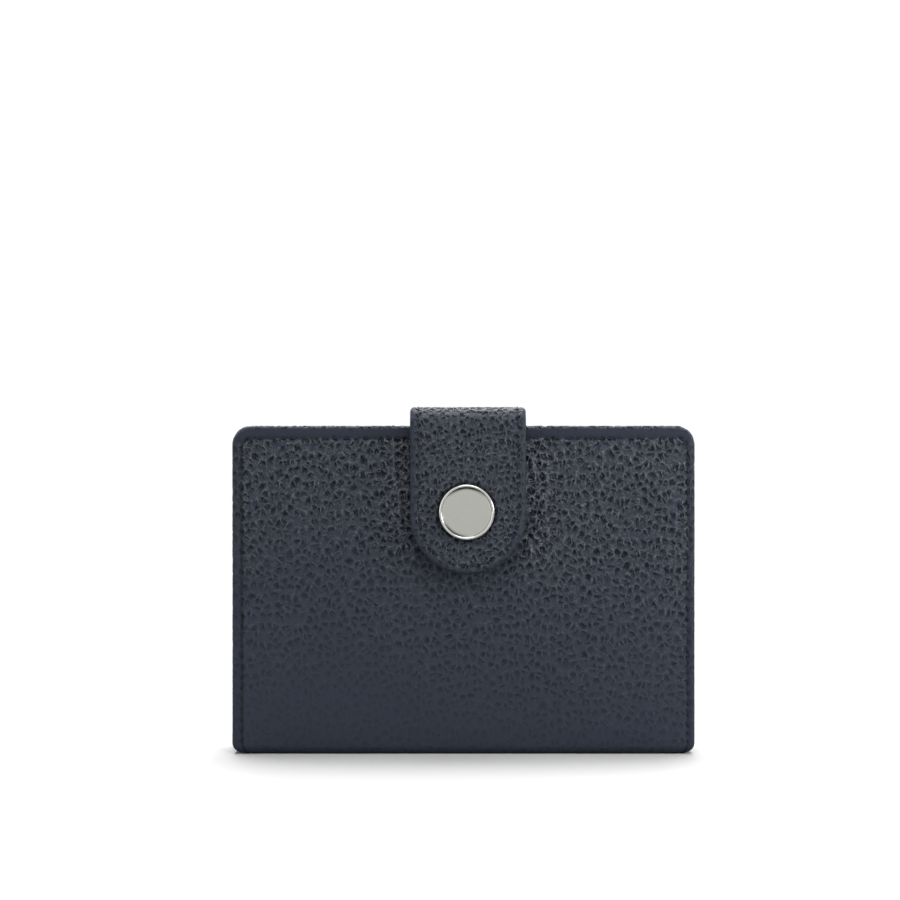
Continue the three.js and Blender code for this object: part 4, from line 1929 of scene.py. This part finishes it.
@dataclass
class Studio:
    """Pale floor, soft light and the camera, in millimetres."""

    distance: float = 650.0
    view_width: float = 204.1
    view_x: float = -3.06
    view_z: float = 69.0
    ahead: float = 0.51
    sides: float = 1.05
    behind: float = 0.5
    behind_mirrored: float = 1.4
    above: float = 0.15
    above_mirrored: float = 0.8
    below: float = 0.25
    backdrop: float = 1.02
    ahead_span: Span = (0.8, 0.97)
    turn_span: Span = (-0.1, 0.4)
    above_span: Span = (0.15, 0.5)
    below_span: Span = (-0.7, -0.2)
    floor_reach: float = 1200.0
    target: tuple[float, float, float] = (30, 0, 40)

    def softbox(self, name: str, softness: float, brightness: float, back: float, right: float) -> None:
        """A soft far light.

        Args:
            name: the light's name.
            softness: its width as seen from the object, in degrees.
            brightness: its strength.
            back: degrees that it stands behind the point overhead, or before it when negative.
            right: degrees that it stands to the right.
        """
        light = bpy.data.lights.new(name, "SUN")
        light.angle = math.radians(softness)
        light.energy = brightness
        place_object(name, light).rotation_euler = (math.radians(-back), math.radians(right), 0)

    def near_lamp(self, name: str, place: tuple[float, float, float], size: float, power: float) -> None:
        """A small square lamp near the case, aimed at its front.

        Args:
            name: the lamp's name.
            place: where it stands.
            size: its side.
            power: in watts.
        """
        light = bpy.data.lights.new(name, "AREA")
        light.size = size * MM
        light.energy = power
        lamp = place_object(name, light)
        lamp.location = Vector(place) * MM
        aim = Vector(self.target) - Vector(place)
        lamp.rotation_euler = aim.to_track_quat("-Z", "Y").to_euler()

    def sky(self) -> None:
        """Even pale backdrop, and dimmer surroundings for the object to reflect."""
        world = bpy.data.worlds.new("surroundings")
        world.use_nodes = True
        world.node_tree.nodes.clear()
        bench = Bench(world.node_tree)
        way = bench.out("ShaderNodeTexCoord", None, None, "Generated")
        front = -1 * bench.part(way, 1)
        up = bench.part(way, 2)
        facing = self.sides - front.step(*self.ahead_span) * (self.sides - self.ahead)
        paths = bench.node("ShaderNodeLightPath").outputs
        seen, mirrored = Wire(bench, paths["Is Camera Ray"]), Wire(bench, paths["Is Glossy Ray"])
        above = self.above + mirrored * (self.above_mirrored - self.above)
        behind = self.behind + mirrored * (self.behind_mirrored - self.behind)
        around = behind + front.step(*self.turn_span) * (facing - behind)
        level = around + up.step(*self.above_span) * (above - around)
        light = self.below + up.step(*self.below_span) * (level - self.below)
        strength = light + seen * (self.backdrop - light)
        sky = bench.out("ShaderNodeBackground", None, {"Color": (1, 1, 1, 1), "Strength": strength})
        bench.node("ShaderNodeOutputWorld", None, {"Surface": sky})
        bpy.context.scene.world = world

    def floor(self) -> None:
        """A wide sheet of paper."""
        reach = self.floor_reach * MM
        mesh = bpy.data.meshes.new("floor_paper")
        corners = [(-reach, -reach, 0), (reach, -reach, 0), (reach, reach, 0), (-reach, reach, 0)]
        mesh.from_pydata(corners, [], [(0, 1, 2, 3)])
        paper = place_object("floor_paper", mesh)
        WhitePaper().dress(paper)

    def camera(self, front: float) -> None:
        """Level camera square to the front face.

        Args:
            front: depth of the front face.
        """
        data = bpy.data.cameras.new("camera")
        data.sensor_width = 36.0
        data.lens = data.sensor_width * self.distance / self.view_width
        data.clip_end = 50.0
        camera = place_object("camera", data)
        camera.location = Vector((self.view_x, front - self.distance, self.view_z)) * MM
        camera.rotation_euler = (math.pi / 2, 0, 0)
        bpy.context.scene.camera = camera

    def build(self, front: float) -> None:
        """Set the whole stage.

        Args:
            front: depth of the front face.
        """
        self.sky()
        self.floor()
        self.camera(front)
        self.softbox("back_softbox", softness=36, brightness=2.1, back=20, right=0)
        self.softbox("front_softbox", softness=40, brightness=0.85, back=-32, right=6)
        self.softbox("rim_softbox", softness=30, brightness=1.0, back=50, right=0)
        self.near_lamp("right_glint", place=(160, -80, 90), size=50, power=0.06)
        bpy.context.scene.view_settings.view_transform = "Standard"
        bpy.context.scene.view_settings.look = "None"


def dress_hidden() -> None:
    """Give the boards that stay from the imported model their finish."""
    for name in ("front_cover_board", "back_cover_board", "spine_board", "strap_flap_stiffener"):
        GreyBoard().dress(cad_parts[name])


def report(title: str, pieces: list[bpy.types.Object]) -> None:
    """Log each piece of a sub-assembly and its face count."""
    for piece in pieces:
        log.info("%s: %s, %d faces", title, piece.name, len(piece.data.polygons))


def main() -> None:
    """Build the holder and its stage."""
    logging.basicConfig(level=logging.INFO, format="%(message)s")
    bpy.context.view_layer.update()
    case = Case()
    Studio().build(case.front_y)
    report("case", case.build())
    report("strap", Strap().build())
    report("snap", Snap().build())
    report("pockets", Pockets().build())
    dress_hidden()


if __name__ == "__main__":
    main()
